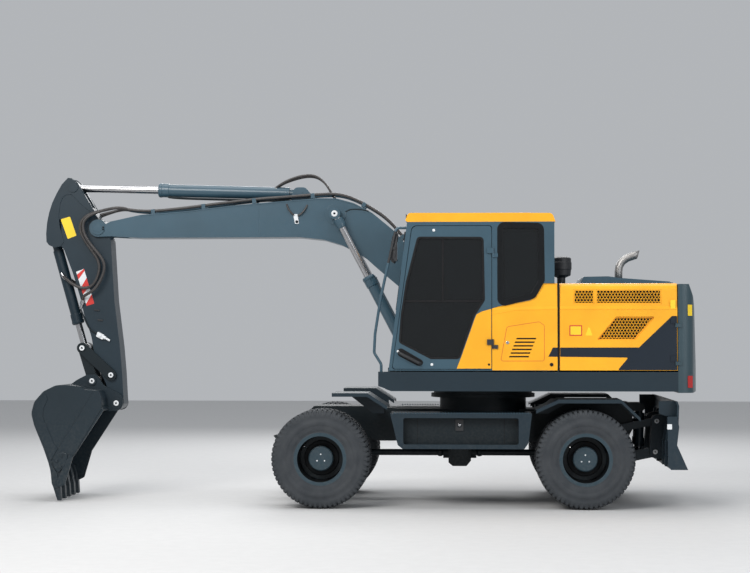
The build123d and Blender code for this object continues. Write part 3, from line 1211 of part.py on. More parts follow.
def cab_shell():
    """Cab frame: floor, posts, roof rails and walls, hollow, with door and windows cut."""
    inner_left = CAB_OUTER_Y - CAB_WALL - 1
    shell = slab(cab_profile(0, CAB_BASE_Z, CAB_TOP_Z), CAB_INNER_Y, CAB_OUTER_Y)
    shell -= slab(cab_profile(CAB_WALL, CAB_BASE_Z + CAB_FLOOR, CAB_TOP_Z - 50),
                  CAB_INNER_Y + CAB_WALL, CAB_OUTER_Y - CAB_WALL)
    shell -= slab(door_profile(PANEL_GAP), inner_left, CAB_OUTER_Y + 1)
    shell -= slab(QUARTER_WINDOW, inner_left, CAB_OUTER_Y + 1)
    shell -= slab(SIDE_GLASS, CAB_INNER_Y - 1, CAB_INNER_Y + CAB_WALL + 1)
    shell -= end_opening(FRONT_GLASS, CAB_FRONT_TOP_X - 108, CAB_FRONT_BASE_X + 95)
    shell -= end_opening(REAR_GLASS, CAB_REAR_X - 1, CAB_REAR_X + CAB_WALL + 1)
    shell -= slab(LEFT_PANEL, DECK_HALF_WIDTH - 24 - LEFT_PANEL_WALL, CAB_OUTER_Y + 1)
    for x in CAB_MOUNT_X:
        for y in CAB_MOUNT_Y:
            shell += upright(x, y, 110, DECK_TOP_Z, CAB_BASE_Z + 1)
    for z, face in zip(CAB_HINGE_Z, (DECK_HALF_WIDTH, CAB_OUTER_Y - 1)):
        shell += hinge_half(CAB_HINGE, CAB_HINGE[0] - 20, CAB_HINGE[0] - 52, face, z - HINGE_LOWER,
                            z - FACE_CLEARANCE)
    return shell


def end_opening(heights, x_low, x_high):
    """Space of a window through an end wall of the cab, between two heights."""
    low, high = heights
    right = CAB_INNER_Y + END_POST_WIDTH
    left = CAB_OUTER_Y - END_POST_WIDTH
    return across([(right, low, 40), (right, high, 40), (left, high, 40), (left, low, 40)], x_low, x_high)


def cab_glass():
    """Fixed panes: windscreen, right side, rear and left quarter."""
    low, high = FRONT_GLASS
    front = GLASS_INSET + GLASS_WALL
    sheet = slab(
        [(cab_front(low) - GLASS_INSET, low), (cab_front(high) - GLASS_INSET, high),
         (cab_front(high) - front, high), (cab_front(low) - front, low)],
        CAB_INNER_Y, CAB_OUTER_Y,
    )
    glass = end_opening(FRONT_GLASS, CAB_FRONT_TOP_X - 108, CAB_FRONT_BASE_X + 95) & sheet
    glass += slab(QUARTER_WINDOW, CAB_OUTER_Y - front, CAB_OUTER_Y - GLASS_INSET)
    glass += slab(SIDE_GLASS, CAB_INNER_Y + GLASS_INSET, CAB_INNER_Y + front)
    return glass + end_opening(REAR_GLASS, CAB_REAR_X + GLASS_INSET, CAB_REAR_X + front)


def cab_roof():
    """Hollow roof cap that overhangs the windscreen a little."""
    shape = slab(
        [(CAB_FRONT_TOP_X - 3, CAB_TOP_Z), (CAB_FRONT_TOP_X + 20, CAB_TOP_Z + 16, 10),
         (CAB_FRONT_TOP_X - 14, ROOF_TOP_Z, 40), (CAB_REAR_X + 21, ROOF_TOP_Z - 5, 50),
         (CAB_REAR_X - 12, CAB_TOP_Z)],
        CAB_INNER_Y, CAB_OUTER_Y,
    )
    inside = slab(
        [(CAB_FRONT_TOP_X - 60, CAB_TOP_Z - 1), (CAB_FRONT_TOP_X - 60, ROOF_TOP_Z - ROOF_WALL),
         (CAB_REAR_X + 60, ROOF_TOP_Z - ROOF_WALL - 5), (CAB_REAR_X + 60, CAB_TOP_Z - 1)],
        CAB_INNER_Y + 50, CAB_OUTER_Y - 50,
    )
    return shape - inside


def cab_door():
    """Cab door leaf with its window cut and its upper hinge knuckles."""
    leaf = slab(door_profile(0), CAB_OUTER_Y - DOOR_WALL, CAB_OUTER_Y)
    leaf -= slab(DOOR_WINDOW, CAB_OUTER_Y - DOOR_WALL - 1, CAB_OUTER_Y + 1)
    for z in CAB_HINGE_Z:
        leaf += hinge_half(CAB_HINGE, DOOR_REAR_EDGE_X + 8, DOOR_REAR_EDGE_X + 48, CAB_OUTER_Y - 1,
                           z, z + HINGE_UPPER)
    return leaf


def door_glass():
    """Door pane."""
    face = CAB_OUTER_Y - GLASS_INSET
    return slab(DOOR_WINDOW, face - GLASS_WALL, face)


def seat():
    """Operator's seat: cushion and backrest."""
    y = CAB_MIDDLE_Y
    cushion = slab([(-60, 1900, 20), (-60, 2020, 40), (430, 2050, 50), (440, 1900, 40)], y - 240, y + 240)
    back = slab([(-190, 1950, 40), (-260, 2640, 50), (-150, 2680, 50), (-10, 1990, 30)], y - 230, y + 230)
    return cushion + back


def controls():
    """Seat stand with both arm consoles, steering column, wheel and control levers."""
    y = CAB_MIDDLE_Y
    floor = CAB_BASE_Z + CAB_FLOOR
    stand = slab([(-220, floor), (-160, 1900), (360, 1900), (320, floor)], y - 200, y + 200)
    console = slab([(-100, 1860), (-120, 2130, 30), (330, 2130, 50), (420, 2040, 30), (380, 1860)], 250, 330)
    console += slab([(-100, 1820), (-100, 1900), (340, 1900), (340, 1820)], 198, 330)
    console += upright(340, 290, 34, 2110, 2260)
    column = slab([(690, floor), (590, 2150), (650, 2170), (800, floor)], y - 60, y + 60)
    axis = Plane(origin=(600, y, 2170), z_dir=(-0.35, 0, 0.94))
    wheel = axis * Torus(170, 14) + axis * Cylinder(40, 76)
    wheel += axis * Box(330, 24, 12) + axis * Box(24, 330, 12)
    return stand + Pos(0, y, 0) * both(console) + column + wheel


def handrails():
    """Grab rail ahead of the cab, rail over the right-hand step box, and their mirrors."""
    y = RAIL_Y
    left = tube([(1085, y, DECK_TOP_Z), (1085, y, 1530), (1160, y, 1650), (1150, y, 1850), (1092, y, 2220),
                 (1010, y, 2600), (925, y, 2975), (cab_front(2960) + 1, y, 2975)],
                [60, 60, 200, 400, 400, 50], RAIL_DIAMETER)
    left += block(918, 948, y - 175, y - 10, 2625, 2910) + block(930, 985, y - 25, y + 5, 2745, 2775)
    right = tube([(840, -y, 1760), (840, -y, 2420), (380, -y, 2420), (380, -y, 2234)], [90, 90], RAIL_DIAMETER)
    right += block(864, 894, -y - 70, -y + 95, 2120, 2380) + block(850, 866, -y - 10, -y + 10, 2235, 2265)
    return left + right


# Boom, arm and bucket


def inset_corners(corners, distance):
    """Corners of a closed outline moved inward by a distance."""
    count = len(corners)
    turned = sum(corners[i - 1][0] * corners[i][1] - corners[i][0] * corners[i - 1][1] for i in range(count))
    inward = 1 if turned > 0 else -1
    moved = []
    for i in range(count):
        here = Vector(corners[i][0], corners[i][1])
        before = Vector(*corners[i - 1][:2])
        after = Vector(*corners[(i + 1) % count][:2])
        incoming = (here - before).normalized()
        outgoing = (after - here).normalized()
        normal = Vector(-incoming.Y - outgoing.Y, incoming.X + outgoing.X).normalized()
        spread = max(0.3, cos(radians(incoming.get_angle(outgoing)) / 2))
        spot = here + normal * (inward * distance / spread)
        moved.append((spot.X, spot.Y))
    return moved


def boom():
    """Box boom of welded plates with its foot boss, cylinder bosses and nose fork."""
    half = BOOM_WIDTH / 2
    body = slab(BOOM_OUTLINE, -half, half)
    cavity = slab(inset_corners(BOOM_OUTLINE, BOOM_PLATE), -half + BOOM_PLATE, half - BOOM_PLATE)
    cavity &= block(BOOM_FOOT[0] + 260, BOOM_FORK_START_X - 60, -half, half, 1800, 3500)
    body -= cavity
    foot_half = BOOM_FOOT_WIDTH / 2
    body += pin(BOOM_FOOT, 250, -foot_half, foot_half)
    body += pin(BOOM_NOSE, 2 * BOOM_NOSE_RADIUS, -half, half)
    body += slab([(4180, 2948), (4180, 3113), BOOM_NOSE, (BOOM_NOSE[0] - 5, BOOM_NOSE[1] - 97)], -half, half)
    fork = half - BOOM_FORK_PLATE
    body -= block(BOOM_FORK_START_X, BOOM_NOSE[0] + 200, -fork, fork, 2800, 3300)
    body += pin(BOOM_NOSE, BOOM_PIN_DIAMETER, -half - 16, half + 16)
    body += both(pin(BOOM_NOSE, BOOM_PIN_DIAMETER + 60, half - 2, half + 12))
    eye_face = BOOM_CYLINDER_Y - BOOM_ROD_EYE[1] / 2 - RUN_CLEARANCE
    body += both(pin(BOOM_CYLINDER_EYE, 230, half - 2, half + 8))
    body += both(pin(BOOM_CYLINDER_EYE, 130, half - 2, eye_face))
    x, z = ARM_CYLINDER_FOOT
    radius = ARM_BARREL_EYE[0] / 2 + 8
    ear = [(x - 190, 3340), (x - radius, z + radius, radius - 4), (x + radius, z + radius, radius - 4), (x + 96, 3325)]
    lug = ARM_BARREL_EYE[1] / 2 + FACE_CLEARANCE
    body += pair(ear, lug, lug + ARM_LUG_WALL)
    body += pin(ARM_CYLINDER_FOOT, ARM_CYLINDER_PIN, -lug - ARM_LUG_WALL - 8, lug + ARM_LUG_WALL + 8)
    body -= pin(BOOM_FOOT, BOOM_PIN_DIAMETER + 2 * PIN_CLEARANCE, -foot_half - 1, foot_half + 1)
    return body


def arm():
    """Box arm with its tail ears, boom boss, rocker bosses and bucket boss."""
    half = ARM_WIDTH / 2
    body = slab(ARM_OUTLINE, -half, half)
    cavity = slab(inset_corners(ARM_OUTLINE, ARM_PLATE), -half + ARM_PLATE, half - ARM_PLATE)
    cavity &= block(4000, 4900, -half, half, 1180, 2880)
    body -= cavity
    ear_inner = half - ARM_EAR_PLATE
    body -= slab([(4300, 3330), (4640, 3140), (5000, 3140), (5000, 3800), (4300, 3800)], -ear_inner, ear_inner)
    body -= slab([(4745, 2700), (4745, 3141), (5000, 3141), (5000, 2700)], -half - 1, half + 1)
    lug = BUCKET_BARREL_EYE[1] / 2 + FACE_CLEARANCE
    x, z = BUCKET_CYLINDER_FOOT
    ears = [(4650, z - 65), (4650, z + 225), (x + 20, z + 235), (x + 70, z + 80, 60),
            (x + 62, z - 66, 60), (x - 60, z - 70, 50)]
    body += pair(ears, lug, lug + ARM_LUG_WALL)
    body += pin(BUCKET_CYLINDER_FOOT, BUCKET_CYLINDER_PIN, -lug - ARM_LUG_WALL - 8, lug + ARM_LUG_WALL + 8)
    boss = BOOM_WIDTH / 2 - BOOM_FORK_PLATE - FACE_CLEARANCE
    body += pin(BOOM_NOSE, 190, -boss, boss)
    body += pin(BUCKET_PIN, 150, -boss, boss)
    body += pin(ROCKER_PIN, 120, -boss, boss)
    body += both(pin(ROCKER_PIN, ROCKER_PIN_DIAMETER, half - 2, boss + FACE_CLEARANCE + ROCKER_PLATE + 10))
    body += both(pin(ARM_CYLINDER_EYE, 110, ARM_ROD_EYE[1] / 2 + RUN_CLEARANCE, ear_inner + 2))
    body += both(pin(ARM_CYLINDER_EYE, 110, half - 2, half + 16))
    body -= pin(BOOM_NOSE, BOOM_PIN_DIAMETER + 2 * PIN_CLEARANCE, -boss - 1, boss + 1)
    body -= pin(BUCKET_PIN, BUCKET_PIN_DIAMETER + 2 * PIN_CLEARANCE, -boss - 1, boss + 1)
    return body


def rocker():
    """Two rocker plates on the arm's sides, with pin stubs at the rod's end."""
    inner = BOOM_WIDTH / 2 - BOOM_FORK_PLATE
    shape = strut(ROCKER_PIN, BUCKET_CYLINDER_EYE, 120, inner, inner + ROCKER_PLATE, ROCKER_PIN_DIAMETER)
    shape += pin(BUCKET_CYLINDER_EYE, ROCKER_PIN_DIAMETER + 20, inner, inner + ROCKER_PLATE + 4)
    shape += pin(BUCKET_CYLINDER_EYE, ROCKER_PIN_DIAMETER, LINK_INNER_Y - 10, inner + ROCKER_PLATE + 12)
    return both(shape)


def link():
    """Power link from the rocker's pins to the cross tube between the bucket's ears."""
    outer = LINK_INNER_Y + LINK_PLATE
    length = hypot(LINK_PIN[0] - BUCKET_CYLINDER_EYE[0], LINK_PIN[1] - BUCKET_CYLINDER_EYE[1])
    angle = degrees(atan2(LINK_PIN[1] - BUCKET_CYLINDER_EYE[1], LINK_PIN[0] - BUCKET_CYLINDER_EYE[0]))
    slot = Pos(*BUCKET_CYLINDER_EYE) * Rot(0, 0, angle) * Pos(length / 2, 0)
    plate = extrude(Plane.XZ.offset(-outer) * slot * SlotCenterToCenter(length, LINK_DEPTH), LINK_PLATE)
    plate -= pin(BUCKET_CYLINDER_EYE, ROCKER_PIN_DIAMETER + 2 * PIN_CLEARANCE, LINK_INNER_Y - 1, outer + 1)
    return both(plate) + pin(LINK_PIN, LINK_DEPTH - 2, -LINK_INNER_Y - 1, LINK_INNER_Y + 1)


def bucket():
    """Digging bucket: wrapper, side plates, mounting ears, side cutters and teeth."""
    half = BUCKET_WIDTH / 2
    body = slab(BUCKET_OUTLINE, -half, half)
    body -= slab(BUCKET_HOLLOW, -half + BUCKET_PLATE, half - BUCKET_PLATE)
    inner = BOOM_WIDTH / 2 - BOOM_FORK_PLATE
    outer = inner + BUCKET_EAR_PLATE
    ear = [
        (BUCKET_PIN[0] - 82, BUCKET_PIN[1] - 84, 80), (BUCKET_PIN[0] - 60, BUCKET_PIN[1] + 96, 80),
        (4250, 1270, 100), (LINK_PIN[0] - 50, LINK_PIN[1] + 76, 60), (LINK_PIN[0] + 60, LINK_PIN[1] + 70, 60),
        (4560, 1330, 100), (4640, 1270), (4440, 1240), (4230, 1010), (4200, 985, 30),
    ]
    body += pair(ear, inner, outer)
    body += pin(BUCKET_PIN, BUCKET_PIN_DIAMETER, -outer - 14, outer + 14)
    body += both(pin(BUCKET_PIN, BUCKET_PIN_DIAMETER + 40, outer - 1, outer + 8))
    body += both(pin(LINK_PIN, 100, outer - 1, outer + 14))
    pitch = (BUCKET_WIDTH - TOOTH_WIDTH) / (TEETH - 1)
    for k in range(TEETH):
        y = -half + TOOTH_WIDTH / 2 + k * pitch
        body += slab(
            [(4768, 300), (4742, 305), (4715, 160), (4664, TOOTH_TIP_Z, 6), (4680, TOOTH_TIP_Z, 6), (4762, 200)],
            y - TOOTH_WIDTH / 2, y + TOOTH_WIDTH / 2,
        )
    cutter = [(4520, 500, 20), (4560, 520), (4700, 230), (4690, 150, 20), (4610, 190, 20)]
    return body + pair(cutter, half - 2, half + 22)


NODES = {
    "chassis": chassis,
    "slew_ring": slew_ring,
    "step_boxes": lambda: both(step_box()),
    "fenders": fenders,
    "front_axle": front_axle,
    "rear_axle": rear_axle,
    "driveline": lambda: gearbox() + driveshafts(),
    "knuckle_left": knuckle,
    "knuckle_right": lambda: right_of(knuckle()),
    "steering_rod": steering_rod,
    "tyres_front_left": lambda: tyres(FRONT_AXLE_X),
    "tyres_front_right": lambda: right_of(tyres(FRONT_AXLE_X)),
    "tyres_rear_left": lambda: tyres(REAR_AXLE_X),
    "tyres_rear_right": lambda: right_of(tyres(REAR_AXLE_X)),
    "rim_front_left": lambda: rim(FRONT_AXLE_X),
    "rim_front_right": lambda: right_of(rim(FRONT_AXLE_X)),
    "rim_rear_left": lambda: rim(REAR_AXLE_X),
    "rim_rear_right": lambda: right_of(rim(REAR_AXLE_X)),
    "blade": blade,
    "blade_arms": blade_arms,
    "blade_links": blade_links,
    "blade_barrels": blade_barrels,
    "blade_rods": blade_rods,
    "deck": deck,
    "counterweight": counterweight,
    "engine": engine,
    "bay_frame": bay_frame,
    "side_panels": side_panels,
    "engine_door_left": lambda: engine_door(1),
    "engine_door_right": lambda: engine_door(-1),
    "grilles_left": lambda: door_grilles(1),
    "grilles_right": lambda: door_grilles(-1),
    "hood": hood,
    "exhaust": exhaust,
    "pre_cleaner": pre_cleaner,
    "tanks": tanks,
    "cab_shell": cab_shell,
    "cab_glass": cab_glass,
    "cab_roof": cab_roof,
    "cab_door": cab_door,
    "door_glass": door_glass,
    "seat": seat,
    "controls": controls,
    "handrails": handrails,
    "boom": boom,
    "boom_barrels": boom_barrels,
    "boom_rods": boom_rods,
    "arm_barrel": arm_barrel,
    "arm_rod": arm_rod,
    "arm": arm,
    "bucket_barrel": bucket_barrel,
    "bucket_rod": bucket_rod,
    "rocker": rocker,
    "link": link,
    "bucket": bucket,
}


def main():
    """Build every piece, centre the machine on the origin and write the files."""
    os.makedirs("parts", exist_ok=True)
    pieces = {name: make() for name, make in NODES.items()}
    boxes = [piece.bounding_box() for piece in pieces.values()]
    middle = (min(box.min.X for box in boxes) + max(box.max.X for box in boxes)) / 2
    print("slewing axis at x =", round(-middle, 3))
    for name, piece in pieces.items():
        export_step(Pos(-middle, 0, 0) * piece, "parts/" + name + ".step")


main()
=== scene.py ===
# %% [markdown]
# # Wheeled excavator: surfaces, fittings, light and camera
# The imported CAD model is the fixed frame. This script dresses it: procedural paint, rubber,
# glass and chrome, then treaded tyres, perforated grilles, seals, pipes, hoses, pins and signs.

# %%
import bmesh
import bpy
from math import cos, hypot, pi, radians, sin, tan
from mathutils import Matrix, Vector


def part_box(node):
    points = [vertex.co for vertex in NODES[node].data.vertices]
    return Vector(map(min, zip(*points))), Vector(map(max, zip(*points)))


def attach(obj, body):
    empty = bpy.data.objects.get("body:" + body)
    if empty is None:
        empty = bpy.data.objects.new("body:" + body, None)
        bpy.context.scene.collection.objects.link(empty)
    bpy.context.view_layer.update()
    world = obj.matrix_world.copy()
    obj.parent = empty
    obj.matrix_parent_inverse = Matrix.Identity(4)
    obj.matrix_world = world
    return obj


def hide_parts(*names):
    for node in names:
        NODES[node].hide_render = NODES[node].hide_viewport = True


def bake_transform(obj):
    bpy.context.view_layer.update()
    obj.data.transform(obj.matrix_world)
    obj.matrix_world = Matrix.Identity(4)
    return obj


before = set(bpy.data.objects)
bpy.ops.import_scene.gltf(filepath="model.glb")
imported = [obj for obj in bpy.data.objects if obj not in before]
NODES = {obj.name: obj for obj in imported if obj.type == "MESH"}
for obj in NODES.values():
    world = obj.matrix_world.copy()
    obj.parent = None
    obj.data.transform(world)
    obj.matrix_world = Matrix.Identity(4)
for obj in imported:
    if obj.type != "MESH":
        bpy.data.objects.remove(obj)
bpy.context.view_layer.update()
SHIFT = -1344.862  # the slewing axis in the shared frame, in millimetres
SIDES = (("left", 1), ("right", -1))
AXLE_Z = 525.0
WHEELS = {"front_left": (1730, 1), "front_right": (1730, -1), "rear_left": (-1070, 1),
          "rear_right": (-1070, -1)}
BODY_FACE, CAB_FACE, BOOM_FACE, ARM_FACE, BUCKET_FACE = 1230.0, 1225.0, 175.0, 140.0, 500.0


def at(x, y, z):
    """A point given in millimetres about the slewing axis, as metres in the shared frame."""
    return Vector(((x + SHIFT) / 1000, y / 1000, z / 1000))


# %% [markdown]
# ## Reusable surface patterns
# Each group turns the object's own coordinates into colours, roughness and normals.

# %%
def new_group(name, inputs, outputs):
    """An empty node group with its sockets, and its input and output nodes."""
    tree = bpy.data.node_groups.new(name, "ShaderNodeTree")
    for label, kind, value in inputs:
        socket = tree.interface.new_socket(label, in_out="INPUT", socket_type=kind)
        socket.default_value = value
    for label, kind in outputs:
        tree.interface.new_socket(label, in_out="OUTPUT", socket_type=kind)
    return tree, tree.nodes.new("NodeGroupInput"), tree.nodes.new("NodeGroupOutput")


def node(tree, kind, **sockets):
    """A node whose named sockets are linked, or set where the value is a plain one."""
    made = tree.nodes.new(kind)
    for key, value in sockets.items():
        target = made.inputs[key]
        if isinstance(value, bpy.types.NodeSocket):
            tree.links.new(value, target)
        else:
            target.default_value = value
    return made


def mix(tree, factor, first, second):
    made = tree.nodes.new("ShaderNodeMix")
    made.data_type = "RGBA"
    for place, value in ((0, factor), (6, first), (7, second)):
        if isinstance(value, bpy.types.NodeSocket):
            tree.links.new(value, made.inputs[place])
        else:
            made.inputs[place].default_value = value
    return made.outputs[2]


def spread(tree, value, low, high, to_low=0.0, to_high=1.0):
    """The value's run from low to high stretched over another run."""
    made = node(tree, "ShaderNodeMapRange", Value=value)
    for label, number in (("From Min", low), ("From Max", high), ("To Min", to_low), ("To Max", to_high)):
        made.inputs[label].default_value = number
    return made.outputs[0]


def product(tree, first, second, operation="MULTIPLY"):
    """A maths node: the two values multiplied, or joined by another operation."""
    made = tree.nodes.new("ShaderNodeMath")
    made.operation = operation
    for place, value in ((0, first), (1, second)):
        if isinstance(value, bpy.types.NodeSocket):
            tree.links.new(value, made.inputs[place])
        else:
            made.inputs[place].default_value = value
    return made.outputs[0]


def noise(tree, vector, scale, detail=4.0, rough=0.55):
    made = node(tree, "ShaderNodeTexNoise", Vector=vector, Scale=scale, Detail=detail, Roughness=rough)
    return made.outputs["Fac"]


def paint_group():
    """Sprayed paint: slight mottling, fine orange peel, and dust that gathers low down and on ledges."""
    tree, gin, gout = new_group(
        "sprayed_paint",
        [("Base", "NodeSocketColor", (0.1, 0.2, 0.3, 1)), ("Dust", "NodeSocketColor", (0.3, 0.28, 0.25, 1)),
         ("Dust Amount", "NodeSocketFloat", 0.3), ("Gloss", "NodeSocketFloat", 0.35),
         ("Peel", "NodeSocketFloat", 0.05)],
        [("Color", "NodeSocketColor"), ("Roughness", "NodeSocketFloat"), ("Normal", "NodeSocketVector")])
    place = tree.nodes.new("ShaderNodeTexCoord").outputs["Object"]
    facing = tree.nodes.new("ShaderNodeNewGeometry")
    low = node(tree, "ShaderNodeSeparateXYZ", Vector=place).outputs["Z"]
    up = node(tree, "ShaderNodeSeparateXYZ", Vector=facing.outputs["Normal"]).outputs["Z"]
    broad = noise(tree, place, 2.2, 5.0)
    fine = noise(tree, place, 38.0, 6.0)
    grain = noise(tree, place, 420.0, 2.0)
    shade = mix(tree, spread(tree, broad, 0.3, 0.7), (0.90, 0.90, 0.90, 1), (1.07, 1.07, 1.07, 1))
    tinted = tree.nodes.new("ShaderNodeMix")
    tinted.data_type, tinted.blend_type = "RGBA", "MULTIPLY"
    tinted.inputs[0].default_value = 1.0
    tree.links.new(gin.outputs["Base"], tinted.inputs[6])
    tree.links.new(shade, tinted.inputs[7])
    ledge = product(tree, spread(tree, up, 0.55, 1.0), spread(tree, fine, 0.3, 0.75))
    foot = product(tree, spread(tree, low, 1.15, 0.1), spread(tree, fine, 0.42, 0.68))
    both = product(tree, product(tree, ledge, 0.75), foot, "MAXIMUM")
    dusty = product(tree, both, gin.outputs["Dust Amount"])
    colour = mix(tree, dusty, tinted.outputs[2], gin.outputs["Dust"])
    uneven = product(tree, spread(tree, fine, 0.2, 0.8, -0.05, 0.07), product(tree, dusty, 0.45), "ADD")
    rough = product(tree, gin.outputs["Gloss"], uneven, "ADD")
    bump = node(tree, "ShaderNodeBump", Strength=gin.outputs["Peel"], Distance=0.002, Height=grain)
    tree.links.new(colour, gout.inputs["Color"])
    tree.links.new(rough, gout.inputs["Roughness"])
    tree.links.new(bump.outputs[0], gout.inputs["Normal"])
    return tree


def speckle_group():
    """Rubber, cloth and moulded plastic: two colours mixed by patches, with a grain of chosen size."""
    tree, gin, gout = new_group(
        "grained_surface",
        [("Base", "NodeSocketColor", (0.05, 0.05, 0.05, 1)), ("Worn", "NodeSocketColor", (0.1, 0.1, 0.1, 1)),
         ("Grain", "NodeSocketFloat", 200.0), ("Depth", "NodeSocketFloat", 0.3),
         ("Matt", "NodeSocketFloat", 0.75)],
        [("Color", "NodeSocketColor"), ("Roughness", "NodeSocketFloat"), ("Normal", "NodeSocketVector")])
    place = tree.nodes.new("ShaderNodeTexCoord").outputs["Object"]
    patches = spread(tree, noise(tree, place, 7.0, 6.0, 0.65), 0.35, 0.72)
    grain = node(tree, "ShaderNodeTexNoise", Vector=place, Scale=gin.outputs["Grain"],
                 Detail=3.0).outputs["Fac"]
    colour = mix(tree, patches, gin.outputs["Base"], gin.outputs["Worn"])
    rough = product(tree, gin.outputs["Matt"], spread(tree, grain, 0.2, 0.8, -0.06, 0.06), "ADD")
    bump = node(tree, "ShaderNodeBump", Strength=gin.outputs["Depth"], Distance=0.002, Height=grain)
    tree.links.new(colour, gout.inputs["Color"])
    tree.links.new(rough, gout.inputs["Roughness"])
    tree.links.new(bump.outputs[0], gout.inputs["Normal"])
    return tree


PAINT = paint_group()
SPECKLE = speckle_group()


def surface(name, group, values, **shader):
    """A material: one pattern group feeding a Principled shader, whose constants sit on its own sockets."""
    made = bpy.data.materials.new(name)
    made.use_nodes = True
    tree = made.node_tree
    bsdf = tree.nodes["Principled BSDF"]
    pattern = tree.nodes.new("ShaderNodeGroup")
    pattern.node_tree = group
    pattern.location = (-300, 0)
    for key, value in values.items():
        pattern.inputs[key].default_value = value
    tree.links.new(pattern.outputs["Color"], bsdf.inputs["Base Color"])
    tree.links.new(pattern.outputs["Roughness"], bsdf.inputs["Roughness"])
    tree.links.new(pattern.outputs["Normal"], bsdf.inputs["Normal"])
    for key, value in shader.items():
        bsdf.inputs[key.replace("_", " ")].default_value = value
    return made


def paint(name, base, gloss=0.35, dust=0.35, coat=0.25, peel=0.05, shine=0.5):
    return surface(name, PAINT, {"Base": (*base, 1), "Gloss": gloss, "Dust Amount": dust, "Peel": peel},
                   Coat_Weight=coat, Coat_Roughness=0.12, Specular_IOR_Level=shine)


def grained(name, base, worn, grain, depth, matt, **shader):
    values = {"Base": (*base, 1), "Worn": (*worn, 1), "Grain": grain, "Depth": depth, "Matt": matt}
    return surface(name, SPECKLE, values, **shader)


# %% [markdown]
# ## Materials

# %%
BODY = paint("body_paint", (0.034, 0.079, 0.112), 0.34, 0.06, 0.2)
# Painted shade: the body's teal-grey paint made darker for the step boxes, fenders, blade, deck, arm and
# bucket cylinder, which look darker only for the shade they sit in.
BODY_PAINT_PAINTED_SHADE = paint("body_paint_with_painted_shade", (0.010, 0.023, 0.034), 0.40, 0.06, 0.06, shine=0.35)
CAST = paint("cast_body_paint", (0.024, 0.052, 0.066), 0.42, 0.06, 0.12, 0.2)
DARK = paint("frame_paint", (0.006, 0.012, 0.016), 0.46, 0.08, 0.04, shine=0.25)
BUCKET = paint("bucket_paint", (0.008, 0.018, 0.026), 0.42, 0.08, 0.06, 0.12, 0.35)
YELLOW = paint("yellow_paint", (0.92, 0.42, 0.015), 0.34, 0.04, 0.12, shine=0.4)
STRIPE = paint("stripe_film", (0.009, 0.016, 0.026), 0.38, 0.03, 0.06, shine=0.3)
WHITE = paint("white_paint", (0.72, 0.74, 0.76), 0.42, 0.1, 0.2)
RED = paint("red_film", (0.62, 0.030, 0.022), 0.35, 0.05, 0.3)
SIGN = paint("sign_yellow", (0.90, 0.62, 0.02), 0.4, 0.05, 0.2)
RIM = paint("rim_paint", (0.020, 0.044, 0.060), 0.42, 0.08, 0.1, shine=0.4)
# Painted shade: a near-black, dull colour for the rim's recessed dish, standing for the shade deep inside the
# wheel.
RIM_DISH_PAINTED_SHADE = paint("rim_dish_painted_shade", (0.003, 0.005, 0.007), 0.55, 0.05, 0.0, shine=0.2)
RUBBER = grained("tyre_rubber", (0.026, 0.031, 0.037), (0.046, 0.051, 0.057), 260.0, 0.3, 0.80)
SEAL = grained("seal_rubber", (0.007, 0.007, 0.008), (0.012, 0.012, 0.013), 300.0, 0.2, 0.62,
               Specular_IOR_Level=0.2)
BLACK = paint("black_border_film", (0.0035, 0.0045, 0.0055), 0.30, 0.02, 0.0, 0.02, 0.3)
HOSE = grained("hose_rubber", (0.030, 0.028, 0.028), (0.052, 0.047, 0.046), 500.0, 0.35, 0.42)
PLASTIC = grained("black_plastic", (0.016, 0.017, 0.019), (0.024, 0.025, 0.028), 700.0, 0.25, 0.50)
CLOTH = grained("seat_fabric", (0.020, 0.021, 0.025), (0.036, 0.037, 0.042), 900.0, 0.6, 0.9,
                Sheen_Weight=0.3)
CHROME = grained("rod_chrome", (0.46, 0.46, 0.47), (0.40, 0.40, 0.41), 150.0, 0.01, 0.24, Metallic=1.0)
STEEL = grained("exhaust_steel", (0.36, 0.35, 0.34), (0.27, 0.26, 0.25), 120.0, 0.12, 0.42, Metallic=1.0)
ENGINE = grained("engine_block", (0.17, 0.18, 0.19), (0.11, 0.115, 0.12), 90.0, 0.3, 0.6, Metallic=0.4)
RED_LENS = grained("red_lens", (0.45, 0.012, 0.010), (0.38, 0.010, 0.008), 90.0, 0.05, 0.22, Coat_Weight=0.5)
LAMP = grained("lamp_lens", (0.70, 0.72, 0.74), (0.60, 0.62, 0.64), 60.0, 0.2, 0.12, Coat_Weight=0.6)
MIRROR = grained("mirror_glass", (0.55, 0.57, 0.60), (0.52, 0.54, 0.57), 50.0, 0.0, 0.04, Metallic=1.0)
GLASS = grained("glass", (0.040, 0.050, 0.056), (0.036, 0.045, 0.050), 20.0, 0.0, 0.04,
                Transmission_Weight=0.88, IOR=1.45, Specular_IOR_Level=0.45)

